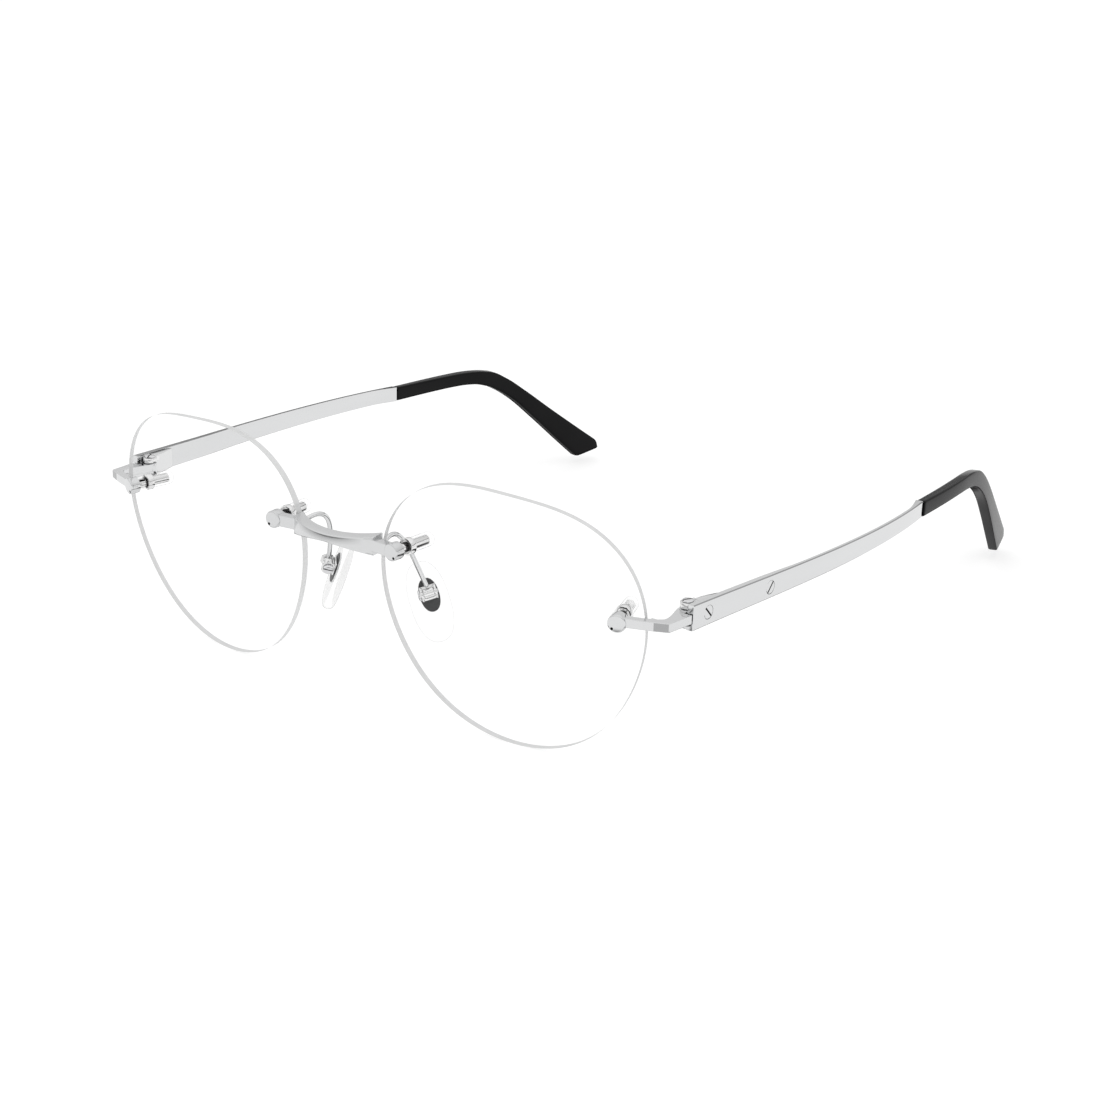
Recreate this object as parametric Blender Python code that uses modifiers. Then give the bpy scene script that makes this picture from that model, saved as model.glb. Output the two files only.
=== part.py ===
"""Rimless eyeglasses, built as separate named pieces.

Frame: metres, +Z up, +X is the wearer's left, the wearer looks along -Y, and
z = 0 is the surface that the lens bottoms and the temple tips rest on. The
origin is the middle of the footprint, BACK behind the front of the lenses.
"""
import math

import bmesh
import bpy
from mathutils import Matrix, Vector

MM = 0.001

# ---------------------------------------------------------------- dimensions
LENS_THICK = 1.60          # edge and centre thickness of the clear lens
LENS_RADIUS = 108.9        # front curve of the lens
LENS_CX = 34.27            # lens centre from the middle of the frame
WRAP = math.radians(6.32)  # face form angle of each lens
PANTO = math.radians(7.03)  # forward tilt of the lens tops
LENS_Z = 22.563            # height of the lens centres above the table
# lens outline: radius = sum of cos/sin harmonics (mean, then k = 1..4)
OUT_MEAN = 24.15
OUT_HARM = ((-0.13, 0.99), (0.85, -0.31), (0.14, 1.07), (-0.41, 0.09))
MOUNT_T = (20.9, 5.3)      # temple side hole in the lens (u, w)
MOUNT_N = (-20.6, 9.4)     # nose side hole in the lens (u, w)
HOLE_R = 1.15
BOSS_R = 1.55
BOSS_FRONT = 2.0           # boss face in front of the lens
PIN_R = 0.85
FERRULE_R, FERRULE_L = 1.5, 1.25   # steel collar behind each lens hole
HINGE_X, HINGE_Y = 61.5, 13.1
KNUCKLE_Z = (27.1, 29.3)   # the endpiece's knuckle, between the temple's two
KNUCKLE_R = 1.30
ARM_Z, ARM_H = 28.5, 1.56  # endpiece arm centre height and height
TEMPLE_Y0 = 10.95          # front edge of the temple
SCREW_Y = (15.1, 32.5)     # slotted screws in the temple
SCREW_HEAD = 1.35          # radius of their heads
PAD_C = (11.0, 10.5, 18.7)
PAD_A, PAD_B, PAD_T = 7.3, 3.55, 2.0
PAD_OUT = 0.6              # outer face of the pad from its outline plane
INSERT_UP = 1.25           # centre of the insert, up the pad from its middle
BRIDGE_LEAN = 0.25         # back edge of the bridge above its front edge

GAP = 0.05
BACK, LIFT = 77.9005, -0.064   # from the lens fronts to the origin; stand height

scene_objects = list(bpy.data.objects)
for ob in scene_objects:
    bpy.data.objects.remove(ob, do_unlink=True)


def new_collection(name):
    col = bpy.data.collections.new(name)
    bpy.context.scene.collection.children.link(col)
    return col


GLASSES = new_collection("rimless_eyeglasses")
CUTTERS = new_collection("cutters")
CUTTERS.hide_render = True


# ----------------------------------------------------------------- materials
def material(name, rgb, rough, metal=0.0, transmission=0.0, alpha=1.0):
    mat = bpy.data.materials.new(name)
    mat.use_nodes = True
    bsdf = mat.node_tree.nodes["Principled BSDF"]
    bsdf.inputs["Base Color"].default_value = (*rgb, 1.0)
    bsdf.inputs["Roughness"].default_value = rough
    bsdf.inputs["Metallic"].default_value = metal
    bsdf.inputs["Transmission Weight"].default_value = transmission
    bsdf.inputs["Alpha"].default_value = alpha
    mat.diffuse_color = (*rgb, 1.0)
    return mat


M_STEEL = material("brushed_steel", (0.72, 0.73, 0.74), 0.22, 1.0)
M_PIN = material("pin_steel", (0.42, 0.43, 0.44), 0.25, 1.0)
M_SCREW = material("screw_steel", (0.60, 0.61, 0.62), 0.25, 1.0)
M_LENS = material("clear_lens", (0.93, 0.96, 0.96), 0.03, 0.0, 1.0)
M_SLEEVE = material("clear_sleeve", (0.92, 0.93, 0.94), 0.12, 0.0, 1.0)
M_PAD = material("clear_silicone", (0.93, 0.93, 0.92), 0.3, 0.0, 0.9)
M_CORE = material("dark_insert", (0.10, 0.10, 0.105), 0.4, 0.6)
M_TIP = material("black_acetate", (0.02, 0.02, 0.022), 0.25)


# ------------------------------------------------------------------- helpers
def link(ob, col=GLASSES, parent=None, mat=None):
    col.objects.link(ob)
    if parent is not None:
        ob.parent = parent
    if mat is not None:
        ob.data.materials.append(mat)
    return ob


def cutter(ob, parent=None):
    link(ob, CUTTERS, parent)
    ob.hide_render = True
    ob.display_type = "WIRE"
    return ob


def empty(name, matrix, parent=None):
    ob = bpy.data.objects.new(name, None)
    ob.empty_display_size = 3 * MM
    GLASSES.objects.link(ob)
    ob.parent = parent
    ob.matrix_local = matrix
    return ob


def shade(me, smooth=True):
    for p in me.polygons:
        p.use_smooth = smooth


def from_bmesh(name, bm, smooth=False):
    bmesh.ops.recalc_face_normals(bm, faces=bm.faces)
    me = bpy.data.meshes.new(name)
    bm.to_mesh(me)
    bm.free()
    shade(me, smooth)
    return bpy.data.objects.new(name, me)


def turned(name, profile, steps=24, closed=True):
    """profile of (radius, z) points in mm, turned about the local Z axis."""
    me = bpy.data.meshes.new(name)
    verts = [(r * MM, 0.0, z * MM) for r, z in profile]
    n = len(verts)
    edges = [(i, i + 1) for i in range(n - 1)]
    if closed:
        edges.append((n - 1, 0))
    me.from_pydata(verts, edges, [])
    ob = bpy.data.objects.new(name, me)
    mod = ob.modifiers.new("turn", "SCREW")
    mod.steps = steps
    mod.render_steps = steps
    mod.use_merge_vertices = True
    mod.merge_threshold = 0.000001
    mod.use_smooth_shade = True
    return ob


def cylinder(name, radius, z0, z1, segs=24):
    bm = bmesh.new()
    bmesh.ops.create_cone(bm, cap_ends=True, segments=segs, radius1=radius * MM,
                          radius2=radius * MM, depth=(z1 - z0) * MM,
                          matrix=Matrix.Translation((0, 0, (z0 + z1) / 2 * MM)))
    return from_bmesh(name, bm)


def box(name, x0, x1, y0, y1, z0, z1):
    bm = bmesh.new()
    bmesh.ops.create_cube(bm, size=1.0)
    bmesh.ops.scale(bm, vec=((x1 - x0) * MM, (y1 - y0) * MM, (z1 - z0) * MM),
                    verts=bm.verts)
    bmesh.ops.translate(bm, vec=((x0 + x1) / 2 * MM, (y0 + y1) / 2 * MM,
                                 (z0 + z1) / 2 * MM), verts=bm.verts)
    return from_bmesh(name, bm)


def flat_outline(name, points, half, bevel=0.0):
    """closed 2D outline (mm) filled and extruded by +-half, as a mesh."""
    cu = bpy.data.curves.new(name + "_outline", "CURVE")
    cu.dimensions = "2D"
    cu.fill_mode = "BOTH"
    cu.extrude = half * MM
    cu.bevel_depth = bevel * MM
    cu.bevel_resolution = 1
    sp = cu.splines.new("POLY")
    sp.points.add(len(points) - 1)
    for p, (x, y) in zip(sp.points, points):
        p.co = (x * MM, y * MM, 0.0, 1.0)
    sp.use_cyclic_u = True
    tmp = bpy.data.objects.new(name + "_tmp", cu)
    bpy.context.scene.collection.objects.link(tmp)
    dg = bpy.context.evaluated_depsgraph_get()
    me = bpy.data.meshes.new_from_object(tmp.evaluated_get(dg))
    bpy.data.objects.remove(tmp, do_unlink=True)
    bm = bmesh.new()
    bm.from_mesh(me)
    bmesh.ops.remove_doubles(bm, verts=bm.verts, dist=0.000001)
    bm.to_mesh(me)
    bm.free()
    me.name = name
    return bpy.data.objects.new(name, me)


def loft(name, rings, smooth=False):
    """closed solid through rings of equal point counts (mm)."""
    bm = bmesh.new()
    loops = [[bm.verts.new((x * MM, y * MM, z * MM)) for x, y, z in ring]
             for ring in rings]
    n = len(loops[0])
    for a, b in zip(loops, loops[1:]):
        for i in range(n):
            j = (i + 1) % n
            bm.faces.new((a[i], a[j], b[j], b[i]))
    bm.faces.new(loops[0])
    bm.faces.new(list(reversed(loops[-1])))
    return from_bmesh(name, bm, smooth)


def wire(name, points, radius, parent=None, mat=None):
    cu = bpy.data.curves.new(name, "CURVE")
    cu.dimensions = "3D"
    cu.bevel_depth = radius * MM
    cu.bevel_resolution = 2
    cu.use_fill_caps = True
    sp = cu.splines.new("POLY")
    sp.points.add(len(points) - 1)
    for p, q in zip(sp.points, points):
        p.co = (q[0] * MM, q[1] * MM, q[2] * MM, 1.0)
    ob = bpy.data.objects.new(name, cu)
    return link(ob, GLASSES, parent, mat)


def boolean(ob, other, op):
    mod = ob.modifiers.new(other.name, "BOOLEAN")
    mod.operation = op
    mod.solver = "EXACT"
    mod.object = other
    return mod


def bevel(ob, width, segs=2, angle=35.0):
    mod = ob.modifiers.new("edge", "BEVEL")
    mod.width = width * MM
    mod.segments = segs
    mod.limit_method = "ANGLE"
    mod.angle_limit = math.radians(angle)
    mod.use_clamp_overlap = True
    return mod


def sample(table, x):
    """smooth interpolation through (x, y) rows (monotone Hermite)."""
    n = len(table)
    if x <= table[0][0]:
        return table[0][1]
    if x >= table[-1][0]:
        return table[-1][1]
    d = [(table[i + 1][1] - table[i][1]) / (table[i + 1][0] - table[i][0])
         for i in range(n - 1)]
    m = [d[0]] + [0.0 if d[i - 1] * d[i] <= 0 else
                  2 * d[i - 1] * d[i] / (d[i - 1] + d[i]) for i in range(1, n - 1)] + [d[-1]]
    for i in range(n - 1):
        if x <= table[i + 1][0]:
            h = table[i + 1][0] - table[i][0]
            t = (x - table[i][0]) / h
            return ((2 * t ** 3 - 3 * t ** 2 + 1) * table[i][1]
                    + (t ** 3 - 2 * t ** 2 + t) * h * m[i]
                    + (-2 * t ** 3 + 3 * t ** 2) * table[i + 1][1]
                    + (t ** 3 - t ** 2) * h * m[i + 1])


def sag(u, w):
    return LENS_RADIUS - math.sqrt(LENS_RADIUS ** 2 - u * u - w * w)


def outline_radius(th):
    r = OUT_MEAN
    for k, (a, b) in enumerate(OUT_HARM, 1):
        r += a * math.cos(k * th) + b * math.sin(k * th)
    return r


def lens_matrix(s):
    """local X = temple side (for s=+1), Y = up, Z = out of the front."""
    return (Matrix.Translation((0, 0, LENS_Z * MM)) @ Matrix.Rotation(PANTO, 4, "X")
            @ Matrix.Translation((s * LENS_CX * MM, 0, 0))
            @ Matrix.Rotation(s * WRAP, 4, "Z") @ Matrix.Rotation(math.pi / 2, 4, "X"))


def mount_matrix(s, uw):
    """frame at a lens hole, Z along the front normal of the lens."""
    u, w = uw
    d = sag(u, w)
    n = Vector((s * u, w, LENS_RADIUS - d)).normalized()
    x = Vector((0, 1, 0)).cross(n).normalized()
    y = n.cross(x)
    rot = Matrix((x, y, n)).transposed().to_4x4()
    return Matrix.Translation((s * u * MM, w * MM, -d * MM)) @ rot


def temple_x(y):
    """outer face of the temple: distance from the middle plane."""
    t = (y - 15.0) / 75.0
    return 64.22 + 5.72 * t + 3.82 * t * t - 7.70 * t ** 3


TEMPLE_TOP = ((10.0, 30.78), (30.0, 30.42), (60.0, 29.97), (94.0, 29.55), (113.0, 29.2))
TEMPLE_BOT = ((10.0, 26.40), (50.0, 26.28), (94.0, 26.34), (112.0, 26.2))
TEMPLE_T = ((10.0, 1.20), (30.0, 1.15), (44.0, 0.72), (84.0, 0.70), (90.5, 1.55))

TIP_X = ((90.0, 65.35), (100.0, 64.95), (110.0, 64.28), (118.0, 63.35), (125.0, 62.33), (132.0, 61.1),
         (140.0, 59.51), (150.0, 57.4), (162.0, 54.8))
TIP_R = ((90.0, 29.52), (105.0, 29.31), (113.0, 29.15), (118.0, 28.8), (123.0, 27.95), (128.0, 25.62),
         (134.0, 21.75), (142.0, 16.15), (152.0, 9.33), (161.5, 2.97))
TIP_F = ((90.0, 26.34), (105.0, 26.33), (112.0, 26.22), (117.0, 25.8), (121.0, 24.8), (125.0, 23.0),
         (130.0, 19.95), (137.0, 14.3), (145.0, 7.4), (152.0, 1.45))
TIP_T = ((90.0, 1.9), (110.0, 2.3), (130.0, 2.35), (161.0, 2.0))


FOOT = Vector((0, -BACK * MM, LIFT * MM))
front = empty("front_frame", Matrix.Translation(FOOT))


# -------------------------------------------------------------------- lenses
def outline_points(n, scale=1.0, s=1):
    pts = []
    for i in range(n):
        th = 2 * math.pi * i / n
        r = outline_radius(th) * scale
        pts.append((s * r * math.cos(th), r * math.sin(th)))
    return pts if s > 0 else pts[::-1]


def make_lens(side, s, carrier):
    rim, rings = 29.0, 10
    prof = [(rim * i / rings, -sag(rim * i / rings, 0.0)) for i in range(rings + 1)]
    prof += [(rim * i / rings, -sag(rim * i / rings, 0.0) - LENS_THICK)
             for i in range(rings, -1, -1)]
    lens = turned("lens_" + side, prof, 72, closed=False)
    link(lens, GLASSES, carrier, M_LENS)
    edge = cutter(flat_outline("cut_lens_edge_" + side, outline_points(96, 1.0, s), 9.0), carrier)
    edge.location = (0, 0, -3 * MM)
    boolean(lens, edge, "INTERSECT")
    for tag, uw in (("temple", MOUNT_T), ("nose", MOUNT_N)):
        hole = cutter(cylinder("cut_lens_hole_%s_%s" % (tag, side), HOLE_R, -5, 4, 20), carrier)
        hole.matrix_local = mount_matrix(s, uw)
        boolean(lens, hole, "DIFFERENCE")
    return lens


# --------------------------------------------- pins, ferrules, clear sleeves
def make_mount(side, s, tag, uw, pin_end, cap_end, carrier):
    at = empty("mount_%s_%s" % (tag, side), mount_matrix(s, uw), carrier)
    back = LENS_THICK
    pin = turned("%s_pin_%s" % (tag, side),
                 [(0, BOSS_FRONT - 0.75), (PIN_R, BOSS_FRONT - 0.75), (PIN_R, -pin_end + 0.2),
                  (PIN_R * 0.6, -pin_end), (0, -pin_end)], 16, closed=False)
    link(pin, GLASSES, at, M_PIN)
    ferrule = turned("%s_ferrule_%s" % (tag, side),
                     [(FERRULE_R, -back - GAP), (FERRULE_R, -back - FERRULE_L),
                      (HOLE_R, -back - FERRULE_L), (HOLE_R, -back - GAP)], 24)
    link(ferrule, GLASSES, at, M_STEEL)
    r_in, r_small, r_big = PIN_R + GAP, HOLE_R - 0.06, 1.32
    step = -back - FERRULE_L - GAP
    prof = [(0.0, -pin_end - 0.15), (r_in, -pin_end - 0.15), (r_in, -GAP), (r_small, -GAP),
            (r_small, step), (r_big, step), (r_big, -cap_end + 0.9),
            (r_big * 0.86, -cap_end + 0.35), (r_big * 0.5, -cap_end + 0.04), (0.0, -cap_end)]
    sleeve = turned("%s_sleeve_%s" % (tag, side), prof, 24, closed=False)
    link(sleeve, GLASSES, at, M_SLEEVE)
    return at


def add_boss(ob, tag, side, s, uw, carrier, free_side):
    """boss disc in front of the lens, with its blind pin bore and dimple."""
    m = mount_matrix(s, uw)
    boss = cutter(turned("add_%s_boss_%s" % (tag, side),
                         [(0, BOSS_FRONT), (BOSS_R - 0.2, BOSS_FRONT),
                          (BOSS_R, BOSS_FRONT - 0.2), (BOSS_R, 0.1), (0, 0.1)], 28,
                         closed=False), carrier)
    boss.matrix_local = m
    boolean(ob, boss, "UNION")
    bore = cutter(cylinder("cut_%s_bore_%s" % (tag, side), PIN_R + GAP, -1.0,
                           BOSS_FRONT - 0.7, 16), carrier)
    bore.matrix_local = m
    boolean(ob, bore, "DIFFERENCE")
    dimple = cutter(cylinder("cut_%s_dimple_%s" % (tag, side), 0.2, BOSS_FRONT - 0.35,
                             BOSS_FRONT + 1, 10), carrier)
    dimple.matrix_local = m @ Matrix.Translation((free_side * 0.75 * MM, -0.85 * MM, 0))
    boolean(ob, dimple, "DIFFERENCE")


# -------------------------------------------------------------------- bridge
def bridge_section(x):
    a = abs(x) / 9.0
    yf = -4.8 + 2.5 * a ** 2
    yb = -2.65 + 2.9 * a ** 2.4
    zt = 32.76 + 0.62 * a ** 1.8
    zb = 31.27 - 1.2 * a ** 1.5
    return yf, yb, zt, zb


def make_bridge(carriers):
    rings = []
    n = 18
    ch = 0.25
    for i in range(n + 1):
        x = -9.0 + 18.0 * i / n
        yf, yb, zt, zb = bridge_section(x)
        up = BRIDGE_LEAN
        rings.append([(x, yf, zb + ch), (x, yf, zt - ch), (x, yf + ch, zt),
                      (x, yb - ch, zt + up), (x, yb, zt + up - ch), (x, yb, zb + up + ch),
                      (x, yb - ch, zb + up), (x, yf + ch, zb)])
    bridge = loft("bridge", rings)
    link(bridge, GLASSES, front, M_STEEL)
    for side, s in (("left", 1), ("right", -1)):
        carrier = carriers[s]
        x0, x1 = sorted((-5.0 * s, 0.1 * s))
        strap = cutter(box("add_bridge_strap_" + side, x0, x1, -1.05, 1.05, 0.14, 1.78), carrier)
        strap.matrix_local = mount_matrix(s, MOUNT_N)
        boolean(bridge, strap, "UNION")
        add_boss(bridge, "bridge", side, s, MOUNT_N, carrier, s)
    return bridge


# ----------------------------------------------------------------- endpieces
def lens_world(s, u, w, t):
    """world point (mm) on the lens front at (u, w), t in front of it."""
    p = lens_matrix(s) @ mount_matrix(s, (u, w)) @ Vector((0, 0, t * MM))
    return p / MM


def side_x(y):
    return 63.2 + (y - 5.0) * 0.12


def make_endpiece(side, s, carrier):
    outer = [lens_world(1, u, MOUNT_T[1], 1.72) for u in (20.4, 22.6, 24.8, 26.6)]
    inner = [lens_world(1, u, MOUNT_T[1], 0.32) for u in (24.6, 22.6, 20.4)]
    # plan view: along the lens, round the corner, back to the hinge knuckle
    sweep = [(HINGE_X + 1.15 * math.cos(a), HINGE_Y + 1.15 * math.sin(a))
             for a in (-0.6, 0.2, 1.1, 2.0, 2.9)]
    pts = [(p.x, p.y) for p in outer] + [(side_x(5.0), 5.05), (side_x(10.65), 10.65),
                                         (62.45, 10.65), (62.4, 12.0)] + sweep + \
        [(60.25, 12.6), (60.45, 11.4), (60.9, 9.9), (61.3, 8.4), (61.5, 7.1), (61.35, 6.3),
         (60.6, 5.6)] + [(p.x, p.y) for p in inner]
    pts = [(s * x, y) for x, y in pts]
    if s < 0:
        pts.reverse()
    arm = flat_outline("endpiece_" + side, pts, ARM_H / 2)
    link(arm, GLASSES, front, M_STEEL)
    arm.location = (0, 0, ARM_Z * MM)
    # small shoulder that stops the arm turning on the lens edge
    tab = cutter(box("add_edge_tab_" + side, *sorted((s * 59.15, s * 60.3)), 4.2, 6.35,
                     28.05, 28.95), front)
    boolean(arm, tab, "UNION")
    # wedge under the arm where it meets the temple
    xo = side_x(10.65)
    bm = bmesh.new()
    for x, y, z in ((xo - 0.01, 8.6, 27.9), (xo - 0.01, 10.63, 27.9), (xo - 1.2, 8.6, 27.9),
                    (xo - 1.2, 10.63, 27.9), (xo - 0.25, 8.6, 27.6), (xo - 1.2, 8.6, 27.6),
                    (xo - 0.45, 10.63, 26.65), (xo - 1.2, 10.63, 26.65)):
        bm.verts.new((s * x * MM, y * MM, z * MM))
    bmesh.ops.convex_hull(bm, input=bm.verts)
    wedge = cutter(from_bmesh("add_wedge_" + side, bm), front)
    boolean(arm, wedge, "UNION")
    # hinge knuckle, with its web, that runs between the temple's two
    z0, z1 = KNUCKLE_Z
    web = cutter(box("add_knuckle_web_" + side, *sorted((s * 61.0, s * 62.3)), 9.6,
                     12.9, z0 + 0.01, z1 - 0.03), front)
    boolean(arm, web, "UNION")
    barrel = cutter(cylinder("add_knuckle_" + side, KNUCKLE_R, z0, z1, 28), front)
    barrel.location = (s * HINGE_X * MM, HINGE_Y * MM, 0)
    boolean(arm, barrel, "UNION")
    bore = cutter(cylinder("cut_hinge_bore_" + side, 0.6, 25, 32, 18), front)
    bore.location = (s * HINGE_X * MM, HINGE_Y * MM, 0)
    boolean(arm, bore, "DIFFERENCE")
    add_boss(arm, "endpiece", side, s, MOUNT_T, carrier, -s)
    return arm


# --------------------------------------------------- temples and their parts
def temple_ring(s, y, ch):
    xo = temple_x(y)
    t = sample(TEMPLE_T, y)
    zt, zb = sample(TEMPLE_TOP, y), sample(TEMPLE_BOT, y)
    return [(s * xo, y, zb + ch), (s * xo, y, zt - ch), (s * (xo - ch), y, zt),
            (s * (xo - t), y, zt), (s * (xo - t), y, zb), (s * (xo - ch), y, zb)]


def make_temple(side, s, pivot):
    ys = [TEMPLE_Y0] + [10.95 + (90.6 - 10.95) * i / 34 for i in range(1, 35)]
    rings = [temple_ring(s, y, 0.16) for y in ys]
    # core wire that runs inside the tip
    for y, f in ((90.7, 0.42), (100.0, 0.4), (110.0, 0.38), (116.0, 0.38), (120.0, 0.38)):
        xm, zt, zb = sample(TIP_X, y), sample(TIP_R, y), sample(TIP_F, y)
        h, zc = (zt - zb) * f / 2, (zt + zb) / 2
        ch = 0.12
        rings.append([(s * (xm + 0.45), y, zc - h + ch), (s * (xm + 0.45), y, zc + h - ch),
                      (s * (xm + 0.45 - ch), y, zc + h), (s * (xm - 0.45), y, zc + h),
                      (s * (xm - 0.45), y, zc - h), (s * (xm + 0.45 - ch), y, zc - h)])
    ob = loft("temple_" + side, rings)
    link(ob, GLASSES, pivot, M_STEEL)
    ob.location = (-s * HINGE_X * MM, -HINGE_Y * MM, 0)
    return ob


def tip_ring(s, f, n, grow=0.0):
    """one section of the tip: f runs 0..1 from its mouth to its end."""
    yr = 90.9 + (161.5 - 90.9) * f
    yf = 90.9 + (152.0 - 90.9) * f
    a = Vector((sample(TIP_X, yr), yr, sample(TIP_R, yr)))
    b = Vector((sample(TIP_X, yf), yf, sample(TIP_F, yf)))
    t = sample(TIP_T, (yr + yf) / 2) / 2
    mid, half = (a + b) / 2, (a - b) / 2
    e1 = half.normalized()
    ya, yb = (yr + yf) / 2 + 1.0, (yr + yf) / 2 - 1.0
    along = Vector((sample(TIP_X, ya) - sample(TIP_X, yb), 2.0, 0)).normalized()
    e2 = Vector((1, 0, 0))
    e2 = (e2 - e1 * e2.dot(e1)).normalized()
    c = 0.5
    hw = half.length
    shape = [(-hw + c, t), (hw - c, t), (hw - 0.15, t - 0.35), (hw, t - 0.75), (hw, -t + 0.75),
             (hw - 0.15, -t + 0.35), (hw - c, -t), (-hw + c, -t), (-hw + 0.15, -t + 0.35),
             (-hw, -t + 0.75), (-hw, t - 0.75), (-hw + 0.15, t - 0.35)]
    return [(s * q.x, q.y, q.z) for q in (mid + e1 * p + e2 * r for p, r in shape)]


def make_tip(side, s, pivot):
    fr = [0.0, 0.08, 0.16, 0.24, 0.3, 0.335, 0.37, 0.405, 0.44, 0.475, 0.51, 0.55, 0.59, 0.64,
          0.7, 0.76, 0.82, 0.88, 0.94, 0.985]
    rings = [tip_ring(s, f, 12) for f in fr]
    last = rings[-1]
    cx_ = sum(p[0] for p in last) / 12
    cy_ = sum(p[1] for p in last) / 12
    cz_ = sum(p[2] for p in last) / 12
    prev = rings[-3]
    px_, py_, pz_ = (sum(p[i] for p in prev) / 12 for i in range(3))
    d = Vector((cx_ - px_, cy_ - py_, cz_ - pz_)).normalized()
    for adv, sc in ((0.55, 0.93), (0.9, 0.78)):
        rings.append([(cx_ + (p[0] - cx_) * sc + d.x * adv, cy_ + (p[1] - cy_) * sc + d.y * adv,
                       cz_ + (p[2] - cz_) * sc + d.z * adv) for p in last])
    ob = loft("temple_tip_" + side, rings)
    link(ob, GLASSES, pivot, M_TIP)
    ob.location = (-s * HINGE_X * MM, -HINGE_Y * MM, 0)
    # slot for the core wire
    core = []
    for y, f in ((90.0, 0.42), (100.0, 0.4), (110.0, 0.38), (116.0, 0.38), (120.3, 0.38)):
        xm, zt, zb = sample(TIP_X, y), sample(TIP_R, y), sample(TIP_F, y)
        h, zc = (zt - zb) * f / 2 + 0.06, (zt + zb) / 2
        core.append([(s * (xm + 0.52), y, zc - h), (s * (xm + 0.52), y, zc + h),
                     (s * (xm - 0.52), y, zc + h), (s * (xm - 0.52), y, zc - h)])
    slot = cutter(loft("cut_tip_slot_" + side, core), pivot)
    slot.location = ob.location
    boolean(ob, slot, "DIFFERENCE")
    return ob


def face_matrix(s, y, z):
    """frame on the temple's outer face, Z outward."""
    x = temple_x(y)
    dx = temple_x(y + 0.5) - temple_x(y - 0.5)
    n = Vector((s, -dx, 0)).normalized()
    xa = Vector((0, 0, 1)).cross(n).normalized()
    rot = Matrix((xa, n.cross(xa), n)).transposed().to_4x4()
    return Matrix.Translation((s * (x - HINGE_X) * MM, (y - HINGE_Y) * MM, z * MM)) @ rot


def make_temple_screws(side, s, pivot, temple, leaf):
    for k, (y, depth, ang) in enumerate(((SCREW_Y[0], 2.0, -35), (SCREW_Y[1], 1.02, 62))):
        z = 28.6 if k == 0 else 28.3
        m = face_matrix(s, y, z)
        name = ("hinge_leaf_screw_" if k == 0 else "temple_screw_") + side
        screw = turned(name, [(0, 0.02), (SCREW_HEAD, 0.02), (SCREW_HEAD, -0.42), (0.5, -0.42),
                              (0.5, -depth), (0, -depth)], 24, closed=False)
        link(screw, GLASSES, pivot, M_SCREW)
        screw.matrix_local = m
        slot = cutter(box("cut_screw_slot_%d_%s" % (k, side), -1.8, 1.8, -0.14, 0.14, -0.22, 1.0), pivot)
        slot.matrix_local = m @ Matrix.Rotation(math.radians(s * ang), 4, "Z")
        boolean(screw, slot, "DIFFERENCE")
        seat = cutter(turned("cut_screw_seat_%d_%s" % (k, side),
                             [(0, 1.0), (SCREW_HEAD + GAP, 1.0), (SCREW_HEAD + GAP, -0.47),
                              (0.55, -0.47), (0.55, -depth - 0.1), (0, -depth - 0.1)], 24,
                             closed=False), pivot)
        seat.matrix_local = m
        boolean(temple, seat, "DIFFERENCE")
        if k == 0:
            boolean(leaf, seat, "DIFFERENCE")


def make_hinge_leaf(side, s, pivot):
    """leaf on the inside of the temple, with its two knuckles."""
    rings = []
    for y, t in ((14.55, 1.35), (16.5, 1.25), (18.6, 0.75), (20.4, 0.3)):
        x1 = temple_x(y) - sample(TEMPLE_T, y) - GAP
        x0 = x1 - t
        zt = 30.45 - (y - 14.55) * 0.02
        zb = 26.5
        ch = 0.12
        rings.append([(s * x1, y, zb), (s * x1, y, zt), (s * (x0 + ch), y, zt),
                      (s * x0, y, zt - ch), (s * x0, y, zb + ch), (s * (x0 + ch), y, zb)])
    leaf = loft("hinge_leaf_" + side, rings)
    link(leaf, GLASSES, pivot, M_STEEL)
    leaf.location = (-s * HINGE_X * MM, -HINGE_Y * MM, 0)
    for k, (z0, z1) in enumerate(((KNUCKLE_Z[1] + 0.07, 30.35), (26.45, KNUCKLE_Z[0] - 0.07))):
        web = cutter(box("add_leaf_web_%d_%s" % (k, side), *sorted((s * (-0.35), s * 1.2)), 0.2,
                         2.2, z0 + 0.01, z1 - 0.01), pivot)
        boolean(leaf, web, "UNION")
        barrel = cutter(cylinder("add_leaf_knuckle_%d_%s" % (k, side), KNUCKLE_R, z0, z1, 28),
                        pivot)
        boolean(leaf, barrel, "UNION")
    bore = cutter(cylinder("cut_leaf_bore_" + side, 0.6, 25, 32, 18), pivot)
    boolean(leaf, bore, "DIFFERENCE")
    return leaf


def make_hinge_screw(side, s):
    screw = turned("hinge_screw_" + side,
                   [(0, 30.75), (0.85, 30.75), (0.98, 30.62), (0.98, 30.4), (0.53, 30.4),
                    (0.53, 26.4), (0, 26.4)], 20, closed=False)
    link(screw, GLASSES, front, M_SCREW)
    screw.location = (s * HINGE_X * MM, HINGE_Y * MM, 0)
    slot = cutter(box("cut_hinge_screw_slot_" + side, -1.2, 1.2, -0.12, 0.12, 30.53, 31.2), front)
    slot.location = screw.location
    slot.rotation_euler = (0, 0, math.radians(s * 62))
    boolean(screw, slot, "DIFFERENCE")


# --------------------------------------------------- pad arms and nose pads
PAD_N = Vector((0.627, -0.728, 0.276)).normalized()
PAD_L = Vector((-0.400, 0.002, 0.916))
PAD_L = (PAD_L - PAD_N * PAD_L.dot(PAD_N)).normalized()
PAD_W = PAD_L.cross(PAD_N)          # towards the face and outward
SCREW_C = (1.95, 1.7, 0.5)          # pad screw centre: out of the pad, up it, across it
CHEEK_R = 1.3


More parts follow.
